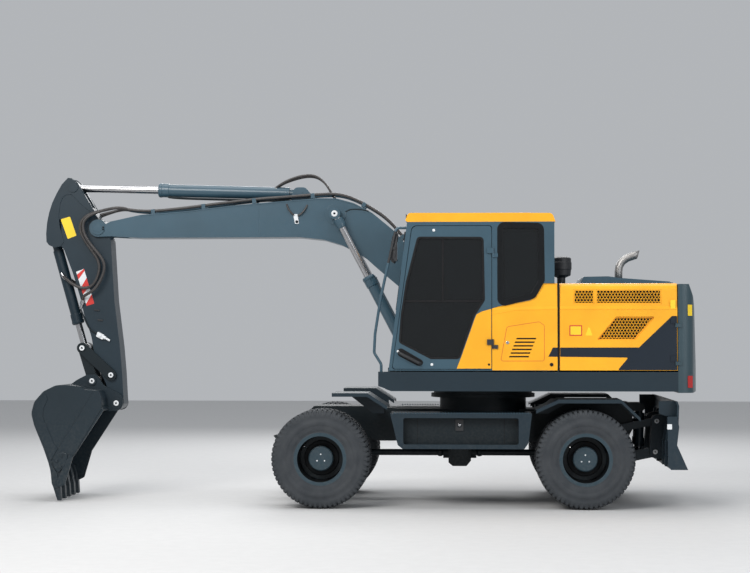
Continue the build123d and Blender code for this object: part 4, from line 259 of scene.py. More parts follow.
# Step boxes, fenders, blade, deck, arm and bucket barrel take the darkened body paint, which is painted
# shade.
FINISH = {
    "chassis": DARK, "slew_ring": DARK, "step_boxes": BODY_PAINT_PAINTED_SHADE, "fenders": BODY_PAINT_PAINTED_SHADE, "front_axle": DARK,
    "rear_axle": DARK, "driveline": DARK, "knuckle_left": DARK, "knuckle_right": DARK, "steering_rod": CHROME,
    "blade": BODY_PAINT_PAINTED_SHADE,
    "blade_arms": BODY_PAINT_PAINTED_SHADE, "blade_links": BODY_PAINT_PAINTED_SHADE, "blade_barrels": BODY_PAINT_PAINTED_SHADE, "blade_rods": CHROME, "deck": BODY_PAINT_PAINTED_SHADE,
    "counterweight": CAST, "engine": ENGINE, "bay_frame": BODY, "side_panels": YELLOW, "exhaust": STEEL,
    "pre_cleaner": PLASTIC, "tanks": BODY, "cab_shell": BODY, "cab_glass": GLASS, "cab_roof": YELLOW,
    "seat": CLOTH, "controls": PLASTIC, "handrails": BODY, "engine_door_left": YELLOW,
    "engine_door_right": YELLOW, "grilles_left": STRIPE, "grilles_right": STRIPE, "hood": BODY,
    "cab_door": BODY, "door_glass": GLASS, "boom": BODY, "boom_barrels": BODY, "boom_rods": CHROME,
    "arm": BODY_PAINT_PAINTED_SHADE,
    "arm_barrel": BODY, "arm_rod": CHROME, "bucket_barrel": BODY_PAINT_PAINTED_SHADE, "bucket_rod": CHROME, "rocker": DARK,
    "link": DARK, "bucket": BUCKET,
}
for corner in WHEELS:
    FINISH["tyres_" + corner] = RUBBER
    FINISH["rim_" + corner] = RIM
for name, material in FINISH.items():
    data = NODES[name].data
    data.materials.clear()
    data.materials.append(material)
print("finished nodes", len(FINISH), "unfinished", sorted(set(NODES) - set(FINISH)))


def recolour(name, material, chosen):
    """Gives a node's faces whose centre (machine millimetres) is chosen a second material."""
    data = NODES[name].data
    data.materials.append(material)
    index = len(data.materials) - 1
    count = 0
    for face in data.polygons:
        x, y, z = face.center * 1000
        if chosen(x - SHIFT, y, z):
            face.material_index = index
            count += 1
    return count


# The dish ring between these radii takes the near-black painted shade.
DISH_INNER, DISH_OUTER = 131.0, 245.0
for corner, (wheel_x, _) in WHEELS.items():
    recolour("rim_" + corner, RIM_DISH_PAINTED_SHADE, lambda x, y, z: DISH_INNER < hypot(x - wheel_x, z - AXLE_Z) < DISH_OUTER)
# Painted shade: the step boxes' sunken panels take the dark frame paint for the shadow inside them.
recess_painted_shade = recolour("step_boxes", DARK, lambda x, y, z: abs(y) < 1160 and 670 < z < 975)
mirrors = recolour("handrails", PLASTIC, lambda x, y, z: (y > 975 and 2600 < z < 2930 and 880 < x < 1010)
                   or (y < -1050 and 2100 < z < 2400 and 820 < x < 930))
hinges = 0
for label, _ in SIDES:
    hinges += recolour("engine_door_" + label, STRIPE,
                       lambda x, y, z: abs(y) > BODY_FACE + 1.5 and z < 2080 and x < -1950)
for name in ("cab_door", "cab_shell", "side_panels"):
    hinges += recolour(name, PLASTIC, lambda x, y, z: y > BODY_FACE + 1 and -160 < x < 60 and 1600 < z < 1820)
print("recess_painted_shade", recess_painted_shade, "mirror", mirrors, "hinge", hinges)

# %% [markdown]
# ## Mesh helpers
# All sizes below are millimetres about the slewing axis, +X forward, +Y to the operator's left, +Z up.

# %%
def piece(name, verts, faces, body, material, bevel=0.0, smooth=False):
    """One mesh piece that rides on a body, material and bevelled edges."""
    mesh = bpy.data.meshes.new(name)
    mesh.from_pydata([at(*v) for v in verts], [], faces)
    mesh.validate()
    work = bmesh.new()
    work.from_mesh(mesh)
    bmesh.ops.recalc_face_normals(work, faces=work.faces)
    work.to_mesh(mesh)
    work.free()
    mesh.materials.append(material)
    if smooth:
        mesh.shade_smooth()
    made = bpy.data.objects.new(name, mesh)
    bpy.context.scene.collection.objects.link(made)
    if bevel:
        edge = made.modifiers.new("edge", "BEVEL")
        edge.width = bevel / 1000
        edge.segments = 2
        edge.limit_method = "ANGLE"
        edge.angle_limit = radians(35)
    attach(made, body)
    return made


class Shape:
    """Vertices and faces gathered before they become one piece."""

    def __init__(self):
        self.verts = []
        self.faces = []

    def add(self, verts, faces):
        start = len(self.verts)
        self.verts += [tuple(v) for v in verts]
        self.faces += [[start + i for i in face] for face in faces]

    def slab(self, outline, low, high, axis="y"):
        """Outline pushed from low to high: (x, z) along y, (y, z) along x, or (x, y) along z."""
        place = {"y": lambda a, b, c: (a, c, b), "x": lambda a, b, c: (c, a, b),
                 "z": lambda a, b, c: (a, b, c)}[axis]
        n = len(outline)
        verts = [place(p[0], p[1], low) for p in outline] + [place(p[0], p[1], high) for p in outline]
        faces = [list(range(n)), list(range(n, 2 * n))]
        faces += [[i, (i + 1) % n, n + (i + 1) % n, n + i] for i in range(n)]
        self.add(verts, faces)

    def lathe(self, centre, axis, profile, steps=32):
        """Profile (along, radius) turned about an axis through centre."""
        axis = Vector(axis).normalized()
        side = axis.orthogonal().normalized()
        other = axis.cross(side)
        centre = Vector(centre)
        verts, faces = [], []
        for along, radius in profile:
            for i in range(steps):
                turn = 2 * pi * i / steps
                verts.append(centre + axis * along + (side * cos(turn) + other * sin(turn)) * radius)
        for j in range(len(profile) - 1):
            for i in range(steps):
                k = (i + 1) % steps
                faces.append([j * steps + i, j * steps + k, (j + 1) * steps + k, (j + 1) * steps + i])
        faces.append(list(range(steps)))
        faces.append(list(range((len(profile) - 1) * steps, len(profile) * steps)))
        self.add(verts, faces)

    def make(self, name, body, slot, material, bevel=0.0, smooth=False):
        return piece(name, self.verts, self.faces, body, material, bevel, smooth)


def rounded(corners, steps=6):
    """Corners (u, v) or (u, v, radius) as plain points, with radii turned into arcs."""
    points = []
    n = len(corners)
    for i, corner in enumerate(corners):
        if len(corner) < 3:
            points.append((corner[0], corner[1]))
            continue
        here = Vector(corner[:2])
        before = (Vector(corners[i - 1][:2]) - here).normalized()
        after = (Vector(corners[(i + 1) % n][:2]) - here).normalized()
        half = before.angle(after) / 2
        reach = corner[2] / tan(half)
        middle = here + (before + after).normalized() * (corner[2] / sin(half))
        start = here + before * reach - middle
        finish = here + after * reach - middle
        turn = start.angle_signed(finish)
        for k in range(steps + 1):
            spin = Matrix.Rotation(-turn * k / steps, 2)
            points.append(tuple(middle + spin @ start))
    return points


def offset(outline, distance):
    """The outline moved inwards by a distance."""
    n = len(outline)
    edges = zip(outline, outline[1:] + outline[:1])
    area = sum(x0 * z1 - x1 * z0 for (x0, z0), (x1, z1) in edges)
    sign = 1 if area > 0 else -1
    moved = []
    for i in range(n):
        here = Vector(outline[i])
        one = (here - Vector(outline[i - 1])).normalized()
        two = (Vector(outline[(i + 1) % n]) - here).normalized()
        normal = (Vector((-one.y, one.x)) + Vector((-two.y, two.x))) * sign
        normal.normalize()
        lean = max(0.4, abs(normal.dot(Vector((-one.y, one.x)))))
        moved.append(tuple(here + normal * distance / lean))
    return moved


def band(name, outline, width, low, high, body, material, bevel=0.0):
    """A frame of even width just inside an outline in side view, from y low to y high."""
    inner = offset(outline, width)
    n = len(outline)
    verts = []
    for y in (low, high):
        verts += [(x, y, z) for x, z in outline] + [(x, y, z) for x, z in inner]
    faces = []
    for i in range(n):
        k = (i + 1) % n
        faces += [[i, k, n + k, n + i], [2 * n + i, 2 * n + k, 3 * n + k, 3 * n + i],
                  [i, k, 2 * n + k, 2 * n + i], [n + i, n + k, 3 * n + k, 3 * n + i]]
    return piece(name, verts, faces, body, material, bevel)


def tube(name, points, radius, body, material, order=4):
    """A pipe or hose on one smooth curve through its guide points."""
    data = bpy.data.curves.new(name, "CURVE")
    data.dimensions = "3D"
    data.bevel_depth = radius / 1000
    data.bevel_resolution = 4
    data.resolution_u = 8
    data.use_fill_caps = True
    line = data.splines.new("NURBS")
    line.points.add(len(points) - 1)
    for spot, point in zip(line.points, points):
        spot.co = (*at(*point), 1)
    line.order_u = min(order, len(points))
    line.use_endpoint_u = True
    data.materials.append(material)
    made = bpy.data.objects.new(name, data)
    bpy.context.scene.collection.objects.link(made)
    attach(made, body)
    return made


def bolts(name, places, axis, radius, height, body, material=DARK, slot="frame_paint"):
    """Hexagon heads on washers, one at each place, pointing along an axis."""
    shape = Shape()
    washer = [(-1, radius * 1.45), (height * 0.22, radius * 1.45), (height * 0.25, radius * 1.3)]
    for place in places:
        shape.lathe(place, axis, washer, 16)
        shape.lathe(place, axis, [(0, radius), (height * 0.85, radius), (height, radius * 0.82)], 6)
    return shape.make(name, body, slot, material)


print("helpers ready")

# %% [markdown]
# ## Tyres with tread blocks
# The section runs from the bead over the wall to the middle of the tread: (across, radius).

# %%
TYRE_Y = (794.5, 1112.5)
SECTION = [(-104, 258), (-116, 272), (-124, 286), (-122, 296), (-127, 300), (-131, 326), (-133.5, 352),
           (-134, 356), (-136, 358), (-137, 380), (-137, 398), (-135.5, 402), (-134, 404), (-132, 424),
           (-128.5, 444), (-130, 447), (-128, 462), (-122, 484), (-112, 497), (-98, 503), (-50, 507),
           (0, 508)]
STEPS = 96
LUGS = 60


def tread_lug(shape, x, y, turn, side):
    """One slanted block from shoulder towards the middle, with a groove left to its neighbour."""
    pitch = 2 * pi / LUGS
    rows = [(16, 0.10, 0.36), (62, 0.02, 0.36), (104, 0.00, 0.34), (120, 0.02, 0.30), (129.5, 0.02, 0.24)]
    tops = [524.5, 523.5, 517.5, 503.0, 474.0]
    feet = [503.0, 503.0, 496.0, 484.0, 462.0]
    verts = []
    for (along, start, half), top, foot in zip(rows, tops, feet):
        lean = (0.55 - along / 260) * pitch * 0.35
        for radius, grow in ((foot, 1.06), (top, 0.92)):
            for sign in (-1, 1):
                a = turn + lean + sign * half * pitch * grow
                verts.append((x + radius * sin(a), y + side * along, AXLE_Z + radius * cos(a)))
    faces = []
    for j in range(len(rows) - 1):
        p, q = 4 * j, 4 * (j + 1)
        faces += [[p + 2, p + 3, q + 3, q + 2], [p, p + 2, q + 2, q], [p + 1, p + 3, q + 3, q + 1],
                  [p, p + 1, q + 1, q]]
    faces += [[0, 1, 3, 2], [4 * len(rows) - 4, 4 * len(rows) - 2, 4 * len(rows) - 1, 4 * len(rows) - 3]]
    shape.add(verts, faces)


for corner, (x, side) in WHEELS.items():
    tyre = Shape()
    lugs = Shape()
    for y in TYRE_Y:
        full = SECTION + [(-p, r) for p, r in reversed(SECTION[:-1])]
        verts, faces = [], []
        n = len(full)
        for i in range(STEPS):
            a = 2 * pi * i / STEPS
            verts += [(x + r * sin(a), side * y + p, AXLE_Z + r * cos(a)) for p, r in full]
        for i in range(STEPS):
            k = (i + 1) % STEPS
            for j in range(n):
                m = (j + 1) % n
                faces.append([i * n + j, i * n + m, k * n + m, k * n + j])
        tyre.add(verts, faces)
        for i in range(LUGS):
            tread_lug(lugs, x, side * y, 2 * pi * i / LUGS, 1)
            tread_lug(lugs, x, side * y, 2 * pi * (i + 0.5) / LUGS, -1)
    made = tyre.make("tyre_" + corner, "wheel_" + corner, "tyre_rubber", RUBBER, smooth=True)
    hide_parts("tyres_" + corner)
    lugs.make("tread_" + corner, "wheel_" + corner, "tyre_rubber", RUBBER, 2.0)
    print("tyre", corner, len(tyre.faces) + len(lugs.faces))

# %% [markdown]
# ## Wheels: brake drums, hub caps with studs and plugs, valves

# %%
HUB_DEPTH = 128.0


def round_axle(x, y, radius, angles):
    """Places on a circle about an axle, one for each angle in degrees."""
    return [(x + radius * cos(radians(a)), y, AXLE_Z + radius * sin(radians(a))) for a in angles]


for corner, (x, side) in WHEELS.items():
    body = "wheel_" + corner
    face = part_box("rim_" + corner)
    outer = max(abs(face[0].y), abs(face[1].y)) * 1000
    hub = outer - HUB_DEPTH
    studs = round_axle(x, side * (hub + 1), 92, range(0, 360, 45))
    small = round_axle(x, side * (hub + 10), 46, (90, 210, 330))
    drum = Shape()
    drum.lathe((x, side * (outer - 340), AXLE_Z), (0, side, 0),
               [(-60, 150), (-60, 236), (70, 236), (76, 230), (76, 150)], 48)
    drum.make("brake_drum_" + corner, body, "frame_paint", DARK)
    cap = Shape()
    cap.lathe((x, side * hub, AXLE_Z), (0, side, 0),
              [(-4, 133), (3, 131), (6, 124), (7, 96), (10, 90), (11, 34), (15, 30), (16, 6)], 48)
    cap.make("hub_cap_" + corner, body, "rim_paint", RIM)
    bolts("hub_studs_" + corner, studs, (0, side, 0), 8, 8, body, RIM, "rim_paint")
    bolts("hub_plugs_" + corner, small, (0, side, 0), 9, 7, body, WHITE, "rod_chrome")
    print(corner, "rim face y", round(outer), "hub y", round(hub))
    valve = [(x + 150, side * (outer - 60), AXLE_Z + 120), (x + 158, side * (outer - 40), AXLE_Z + 128),
             (x + 166, side * (outer - 18), AXLE_Z + 134)]
    tube("valve_" + corner, valve, 4, body, CHROME)

# %% [markdown]
# ## Engine bay: perforated grilles with their rims, and a dark sheet behind them as painted shade

# %%
def hexagons(outline, pitch):
    """Centres of honeycomb cells whose middle lies inside the outline."""
    xs = [p[0] for p in outline]
    zs = [p[1] for p in outline]
    found = []
    row, z = 0, min(zs)
    while z < max(zs):
        x = min(xs) + (pitch / 2 if row % 2 else 0)
        while x < max(xs):
            if inside(outline, x, z):
                found.append((x, z))
            x += pitch
        row += 1
        z += pitch * 0.866
    return found


def inside(outline, x, z):
    """Whether a point lies within the outline."""
    hit = False
    n = len(outline)
    for i in range(n):
        (x0, z0), (x1, z1) = outline[i], outline[(i + 1) % n]
        if (z0 > z) != (z1 > z) and x < (x1 - x0) * (z - z0) / (z1 - z0) + x0:
            hit = not hit
    return hit


def honeycomb(shape, outline, pitch, wall, low, high):
    """Thin walls round each cell, so that the sheet reads as punched with hexagonal holes."""
    radius = pitch / 3 ** 0.5
    done = set()
    for cx, cz in hexagons(outline, pitch):
        corners = [(cx + radius * sin(pi * k / 3), cz + radius * cos(pi * k / 3)) for k in range(6)]
        for k in range(6):
            a, b = corners[k], corners[(k + 1) % 6]
            key = (round((a[0] + b[0]) / 2), round((a[1] + b[1]) / 2))
            if key in done:
                continue
            done.add(key)
            along = Vector((b[0] - a[0], b[1] - a[1])).normalized()
            across = Vector((-along.y, along.x)) * wall / 2
            grow = along * wall * 0.28
            quad = [Vector(a) - grow - across, Vector(b) + grow - across, Vector(b) + grow + across,
                    Vector(a) - grow + across]
            shape.slab([tuple(p) for p in quad], low, high)


GRILLES = [
    [(-1163, 2163), (-944, 2163), (-944, 2318), (-1163, 2318)],
    [(-1865, 2163), (-1180, 2163), (-1180, 2318), (-1865, 2318)],
    [(-1386, 2032), (-1801, 2032), (-1585, 1784), (-1180, 1784)],
]
for label, side in SIDES:
    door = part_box("engine_door_" + label)
    face = max(abs(door[0].y), abs(door[1].y)) * 1000
    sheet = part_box("grilles_" + label)
    low = min(abs(sheet[0].y), abs(sheet[1].y)) * 1000
    print(label, "door face", round(face), "grille y", [round(v.y * 1000) for v in sheet])
    mesh = Shape()
    for outline in GRILLES:
        honeycomb(mesh, offset(outline, 12), 34, 9, side * (low + 1), side * (low + 6))
    made = mesh.make("perforated_sheet_" + label, "engine_door_" + label, "grille_paint", YELLOW)
    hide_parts("grilles_" + label)
    # Painted shade: a near-black sheet just behind the perforations, standing for the shade inside the engine
    # bay.
    shade_sheet = Shape()
    for outline in GRILLES:
        shade_sheet.slab(offset(outline, 4), side * (low - 16), side * (low - 12))
    shade_sheet.make("grille_painted_shade_" + label, "engine_door_" + label, "grille_paint", SEAL)
    for i, outline in enumerate(GRILLES):
        band("grille_rim_%s_%d" % (label, i), rounded([(*p, 14) for p in outline]), 13, side * (low - 2),
             side * (low + 9), "engine_door_" + label, YELLOW)
print("grilles ready")

# %% [markdown]
# ## Engine bay: charcoal stripe, creases, blank labels and signs, seal strips

# %%
FILM = 1.6
STRIPE_ON_DOOR = [(-802, 1706), (-1626, 1707), (-1971, 2038), (-2024, 2038), (-2024, 1469), (-1404, 1469),
                  (-1515, 1601), (-802, 1609)]
STRIPE_ON_PANEL = [(-678, 1610), (-726, 1706), (-776, 1706), (-776, 1609)]
CREASE_ON_PANEL = [(-90, 2052), (-90, 2064), (-330, 2108), (-776, 2116), (-776, 2105), (-330, 2097)]
for label, side in SIDES:
    low, high = side * BODY_FACE, side * (BODY_FACE + FILM)
    ridge = side * (BODY_FACE + 3)
    door = "engine_door_" + label
    film = Shape()
    film.slab(rounded([(x, z, 8) for x, z in STRIPE_ON_DOOR]), low, high)
    film.make("stripe_door_" + label, door, "grille_paint", STRIPE)
    film = Shape()
    film.slab(STRIPE_ON_PANEL, low, high)
    film.make("stripe_panel_" + label, "upper", "grille_paint", STRIPE)
    crease = Shape()
    crease.slab([(-802, 2105), (-802, 2116), (-2022, 2116), (-2022, 2105)], low, ridge)
    crease.make("crease_door_" + label, door, "yellow_paint", YELLOW, 2.5)
    if side == 1:
        crease = Shape()
        crease.slab(CREASE_ON_PANEL, low, ridge)
        crease.make("crease_panel_" + label, "upper", "yellow_paint", YELLOW, 2.5)
    labels = Shape()
    labels.slab(rounded([(-902, 1832, 8), (-902, 1938, 8), (-1030, 1938, 8), (-1030, 1832, 8)]), low, high)
    labels.make("label_blank_" + label, door, "yellow_paint", SIGN)
    band("label_edge_" + label, [(-900, 1830), (-900, 1940), (-1032, 1940), (-1032, 1830)], 10, low,
         side * (BODY_FACE + 2.2), door, RED)
    sign = Shape()
    sign.slab(rounded([(-1066, 1832, 6), (-1104, 1938, 10), (-1142, 1832, 6)]), low, high)
    sign.slab(rounded([(-1955, 2104, 6), (-1955, 2205, 6), (-2008, 2205, 6), (-2008, 2104, 6)]), low, high)
    sign.make("signs_blank_" + label, door, "yellow_paint", SIGN)
    seam = Shape()
    seam.slab([(-797, 1470), (-797, 2380), (-778, 2380), (-778, 1470)],
              side * (BODY_FACE - 46), side * (BODY_FACE - 10))
    seam.make("door_seal_strip_" + label, "upper", "black_plastic", SEAL)
print("stripes, labels and seals on both sides")

# %% [markdown]
# ## Side panel: hatch with its seam and lock, bumpers, backing of the slots

# %%
HATCH = [(-242, 1927, 40), (-583, 1980, 40), (-639, 1941, 30), (-639, 1563, 25), (-176, 1562, 25)]
SLOTS = 6
band("hatch_seam", rounded(HATCH), 4, BODY_FACE, BODY_FACE + 0.9, "upper", RED)
lock = Shape()
lock.lathe((-250, BODY_FACE, 1758), (0, 1, 0), [(0, 17), (3, 17), (5, 13), (6, 7), (8, 6)], 24)
lock.make("hatch_lock", "upper", "rod_chrome", CHROME)
stop = Shape()
stop.lathe((-712, BODY_FACE, 1527), (0, 1, 0), [(0, 19), (8, 18), (11, 12)], 24)
stop.lathe((-55, CAB_FACE, 1527), (0, 1, 0), [(0, 12), (6, 11)], 20)
stop.make("panel_bumpers", "upper", "black_plastic", SEAL)
# Painted shade: near-black strips just behind each slot, standing for the shade behind the louvres.
slots = Shape()
for row in range(SLOTS):
    x, z = -346 + 15 * row, 1808 - 38 * row
    slots.slab([(x - 4, z - 14), (x - 200, z - 14), (x - 206, z - 1), (x - 4, z - 1)],
               BODY_FACE - 14, BODY_FACE - 8)
slots.make("louvre_painted_shade", "upper", "black_plastic", SEAL)
print("slots", SLOTS)

# %% [markdown]
# ## Cab: window seals, bars, yellow door corner, handle and bosses

# %%
DOOR_WINDOW = rounded([
    (697, 2874, 40), (3, 2870, 40), (-10, 2206, 40), (96, 2041, 40), (256, 1588, 40), (557, 1587, 40),
    (892, 1760, 40), (872, 2047, 100), (818, 2395, 200)])
QUARTER = rounded([(-190, 2985, 30), (-590, 2975, 30), (-598, 2420, 20), (-508, 2262, 40), (-190, 2185, 30)])
HANDLE_DISH = [(915, 1700, 34), (905, 1622, 34), (700, 1514, 34), (640, 1514, 34), (640, 1566, 34),
               (860, 1694, 34)]
GRIP_Y = CAB_FACE + 48
band("door_window_seal", offset(DOOR_WINDOW, -4), 22, CAB_FACE - 16, CAB_FACE + 2.5, "cab_door",
     SEAL, 1.5)
band("quarter_window_seal", offset(QUARTER, -46), 62, CAB_FACE - 16, CAB_FACE + 1.5, "upper",
     BLACK, 1.0)
bars = Shape()
bars.slab([(-4, 2184), (-4, 2206), (846, 2206), (850, 2184)], CAB_FACE - 17, CAB_FACE - 8)
bars.slab([(420, 2206), (420, 2862), (440, 2862), (440, 2206)], CAB_FACE - 17, CAB_FACE - 10)
bars.make("door_window_bars", "cab_door", "black_plastic", SEAL, 2.0)
corner = Shape()
corner.slab([(-80, 1484), (-80, 2113), (17, 2086), (74, 2056), (94, 2010), (240, 1596), (248, 1578),
             (284, 1484)],
            CAB_FACE, CAB_FACE + FILM)
corner.make("door_yellow_corner", "cab_door", "yellow_paint", YELLOW)
tube("door_handle", [(892, CAB_FACE - 2, 1650), (888, CAB_FACE + 38, 1648), (850, GRIP_Y, 1628),
                     (760, GRIP_Y, 1582), (710, GRIP_Y, 1556), (672, CAB_FACE + 38, 1536),
                     (668, CAB_FACE - 2, 1534)],
     17, "cab_door", PLASTIC)
dish = Shape()
dish.slab(rounded(HANDLE_DISH), CAB_FACE, CAB_FACE + 2)
dish.make("door_handle_dish", "cab_door", "black_plastic", SEAL, 0.8)
bosses = Shape()
for x, z, r in ((525, 2945, 15), (546, 1527, 15), (905, 1665, 13)):
    bosses.lathe((x, CAB_FACE, z), (0, 1, 0), [(0, r), (4, r), (6, r * 0.7)], 20)
bosses.make("door_bosses", "cab_door", "rod_chrome", WHITE)
print("door window points", len(DOOR_WINDOW))

# %% [markdown]
# ## Cab: wiper, roof lamps, mirrors, roof panel

# %%
wiper = Shape()
wiper.lathe((833, 785, 2935), (0.97, 0, 0.12), [(-4, 22), (14, 22), (20, 14)], 20)
wiper.make("wiper_motor_cap", "upper", "black_plastic", PLASTIC)
tube("wiper_arm", [(845, 785, 2930), (868, 700, 2600), (905, 600, 2330)], 6, "upper",
     PLASTIC)
tube("wiper_blade", [(890, 640, 2540), (918, 600, 2330), (948, 560, 2110)], 8, "upper", SEAL)
for label, y in (("left", 1040), ("right", 530)):
    lamp = Shape()
    lamp.lathe((808, y, 3084), (1, 0, -0.15), [(-6, 34), (12, 48), (16, 48), (17, 42)], 28)
    lamp.make("roof_lamp_" + label, "upper", "black_plastic", PLASTIC, 1.5)
    face = Shape()
    face.lathe((808, y, 3084), (1, 0, -0.15), [(14, 40), (18, 38), (20, 22)], 28)
    face.make("roof_lamp_lens_" + label, "upper", "glass", LAMP)


def mirror_shell(name, x, y, z, width, height, lean):
    """A mirror's moulded back: deep in the middle, with rounded corners."""
    shell = Shape()
    rings = [(0, 1.0), (-14, 1.02), (-40, 0.93), (-58, 0.72), (-66, 0.40)]
    verts, faces = [], []
    steps = 36
    for depth, scale in rings:
        for i in range(steps):
            a = 2 * pi * i / steps
            u = abs(cos(a)) ** 0.55 * (1 if cos(a) > 0 else -1) * width / 2 * scale
            v = abs(sin(a)) ** 0.55 * (1 if sin(a) > 0 else -1) * height / 2 * scale
            verts.append((x - depth + v * lean, y + u, z + v))
    for j in range(len(rings) - 1):
        for i in range(steps):
            k = (i + 1) % steps
            faces.append([j * steps + i, j * steps + k, (j + 1) * steps + k, (j + 1) * steps + i])
    faces += [list(range(steps)), list(range((len(rings) - 1) * steps, len(rings) * steps))]
    shell.add(verts, faces)
    return shell.make(name, "upper", "black_plastic", PLASTIC)


mirror_shell("mirror_shell_left", 922, 1068, 2768, 178, 330, -0.10)
mirror_shell("mirror_shell_right", 868, -1148, 2250, 178, 290, 0.0)
glass = Shape()
glass.slab([(1006, 2640), (1132, 2640), (1132, 2895), (1006, 2895)], 915, 917, "x")
glass.make("mirror_left", "upper", "rod_chrome", MIRROR)
glass = Shape()
glass.slab([(-1222, 2132), (-1073, 2132), (-1073, 2368), (-1222, 2368)], 861.5, 863.5, "x")
glass.make("mirror_right", "upper", "rod_chrome", MIRROR)
roof = Shape()
roof.slab(rounded([(560, 430, 60), (560, 1140, 60), (-520, 1140, 60), (-520, 430, 60)]), 3126, 3134, "z")
roof.make("roof_panel", "upper", "yellow_paint", YELLOW, 4.0)
print("mirrors, lamps and roof panel done")

# %% [markdown]
# ## Counterweight: reflectors

# %%
for label, side in SIDES:
    middle = Vector((-2160, side * 1198))
    normal, along = Vector((-0.646, side * 0.763)), Vector((-0.763, side * -0.646))
    for name, low, high, material, half in (("yellow", 2040, 2156, SIGN, 30),
                                            ("red", 1284, 1410, RED_LENS, 34)):
        plate = Shape()
        quad = [middle - along * half, middle + along * half, middle + along * half + normal * 7,
                middle - along * half + normal * 7]
        plate.slab([tuple(p) for p in quad], low, high, "z")
        plate.make("reflector_%s_%s" % (name, label), "upper", "rod_chrome", material, 1.5)

# %% [markdown]
# ## Exhaust: one bent pipe with a slanted open end

# %%
FOOT_X, FOOT_Y, HOOD_Z = -1540.0, -300.0, 2383.0
BEND = [(0, 20), (0, 170), (8, 230), (40, 286), (96, 326), (170, 352), (222, 366)]
route = [(FOOT_X - back, FOOT_Y, HOOD_Z + rise) for back, rise in BEND]
pipe = Shape()
PIPE_STEPS = 28
verts, faces = [], []
for wall in (44, 39):
    for i, spot in enumerate(route):
        ahead = Vector(route[min(i + 1, len(route) - 1)]) - Vector(route[max(i - 1, 0)])
        ahead.normalize()
        flat = Vector((0, 1, 0))
        up = flat.cross(ahead)
        for k in range(PIPE_STEPS):
            a = 2 * pi * k / PIPE_STEPS
            cut = ahead * (26 * sin(a)) if i == len(route) - 1 else Vector((0, 0, 0))
            verts.append(Vector(spot) + (flat * cos(a) + up * sin(a)) * wall + cut)
count = len(route) * PIPE_STEPS
for base in (0, count):
    for i in range(len(route) - 1):
        for k in range(PIPE_STEPS):
            n = (k + 1) % PIPE_STEPS
            low, high = base + i * PIPE_STEPS, base + (i + 1) * PIPE_STEPS
            faces.append([low + k, low + n, high + n, high + k])
for row in (0, (len(route) - 1) * PIPE_STEPS):
    for k in range(PIPE_STEPS):
        n = (k + 1) % PIPE_STEPS
        faces.append([row + k, row + n, count + row + n, count + row + k])
pipe.add(verts, faces)
made = pipe.make("exhaust_pipe", "upper", "exhaust_steel", STEEL, smooth=True)
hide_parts("exhaust")
collar = Shape()
collar.lathe((FOOT_X, FOOT_Y, HOOD_Z), (0, 0, 1), [(0, 62), (16, 62), (20, 56), (52, 54), (60, 48), (62, 40)],
             32)
collar.make("exhaust_collar", "upper", "exhaust_steel", STEEL)

# %% [markdown]
# ## Seat: crowned cushion and back with sewn channels and piping

# %%
def cushion(name, origin, along, across, size, crown, channels):
    """A stuffed pad, flat below, with pulled-in sides, a crowned top, sewn channels and piping."""
    along, across = Vector(along).normalized(), Vector(across).normalized()
    out = along.cross(across)
    length, width, depth = size
    cells = 40
    verts, faces = [], []

    def spot(s, t, h, bulge=0.0):
        pull = 1 - 0.035 * (1 - t * t) * abs(s) ** 3
        pinch = 1 - 0.035 * (1 - s * s) * abs(t) ** 3
        trim = 1 - 0.045 * s * s * t * t
        return (Vector(origin) + along * (s * pull * trim * (length / 2 + bulge))
                + across * (t * pinch * trim * (width / 2 + bulge)) + out * h)

    ticks = [2 * i / cells - 1 for i in range(cells + 1)]
    for s in ticks:
        for t in ticks:
            dome = ((1 - s ** 4) * (1 - t ** 4)) ** 0.6
            height = depth * 0.66 + (depth * 0.34 + crown) * dome
            for kind, place in channels:
                away = abs((s if kind == "s" else t) - place) * (length if kind == "s" else width) / 2
                height -= 7 * max(0.0, 1 - away / 11) * dome
            verts.append(spot(s, t, height))
    n = cells + 1
    for i in range(cells):
        for j in range(cells):
            faces.append([i * n + j, i * n + j + 1, (i + 1) * n + j + 1, (i + 1) * n + j])
    rim = ([(i, 0) for i in range(cells)] + [(cells, j) for j in range(cells)]
           + [(i, cells) for i in range(cells, 0, -1)] + [(0, j) for j in range(cells, 0, -1)])
    last = [i * n + j for i, j in rim]
    for h, bulge in ((0.52, 9), (0.30, 11), (0.10, 6), (0.0, -4)):
        start = len(verts)
        verts += [spot(ticks[i], ticks[j], depth * h, bulge) for i, j in rim]
        ring = list(range(start, len(verts)))
        sides = len(rim)
        faces += [[last[k], last[(k + 1) % sides], ring[(k + 1) % sides], ring[k]] for k in range(sides)]
        last = ring
    faces.append(last)
    made = piece(name, verts, faces, "upper", CLOTH, smooth=True)
    seam = [spot(ticks[i], ticks[j], depth * 0.66, 2) for i, j in rim[::5]]
    tube(name + "_piping", [tuple(p) for p in seam + seam[:1]], 3.5, "upper", SEAL, 3)
    return made


SEAT_Y = 785.0
bottom = cushion("seat_cushion", (104, SEAT_Y, 1904), (1, 0, 0), (0, 1, 0), (620, 452, 112), 22,
                 [("s", -0.45), ("s", 0.05), ("s", 0.5), ("t", -0.62), ("t", 0.62)])
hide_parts("seat")
lean = radians(9)
cushion("seat_back", (-232, SEAT_Y, 2340), (sin(-lean), 0, cos(lean)), (0, -1, 0), (560, 436, 92), 18,
        [("s", -0.5), ("s", 0.0), ("s", 0.5), ("t", -0.6), ("t", 0.6)])
cushion("seat_head_rest", (-236, SEAT_Y, 2600), (0, 0, 1), (0, -1, 0), (96, 250, 70), 10, [])

# %% [markdown]
# ## Boom and arm: pins with pale covers, and the bosses that carry them

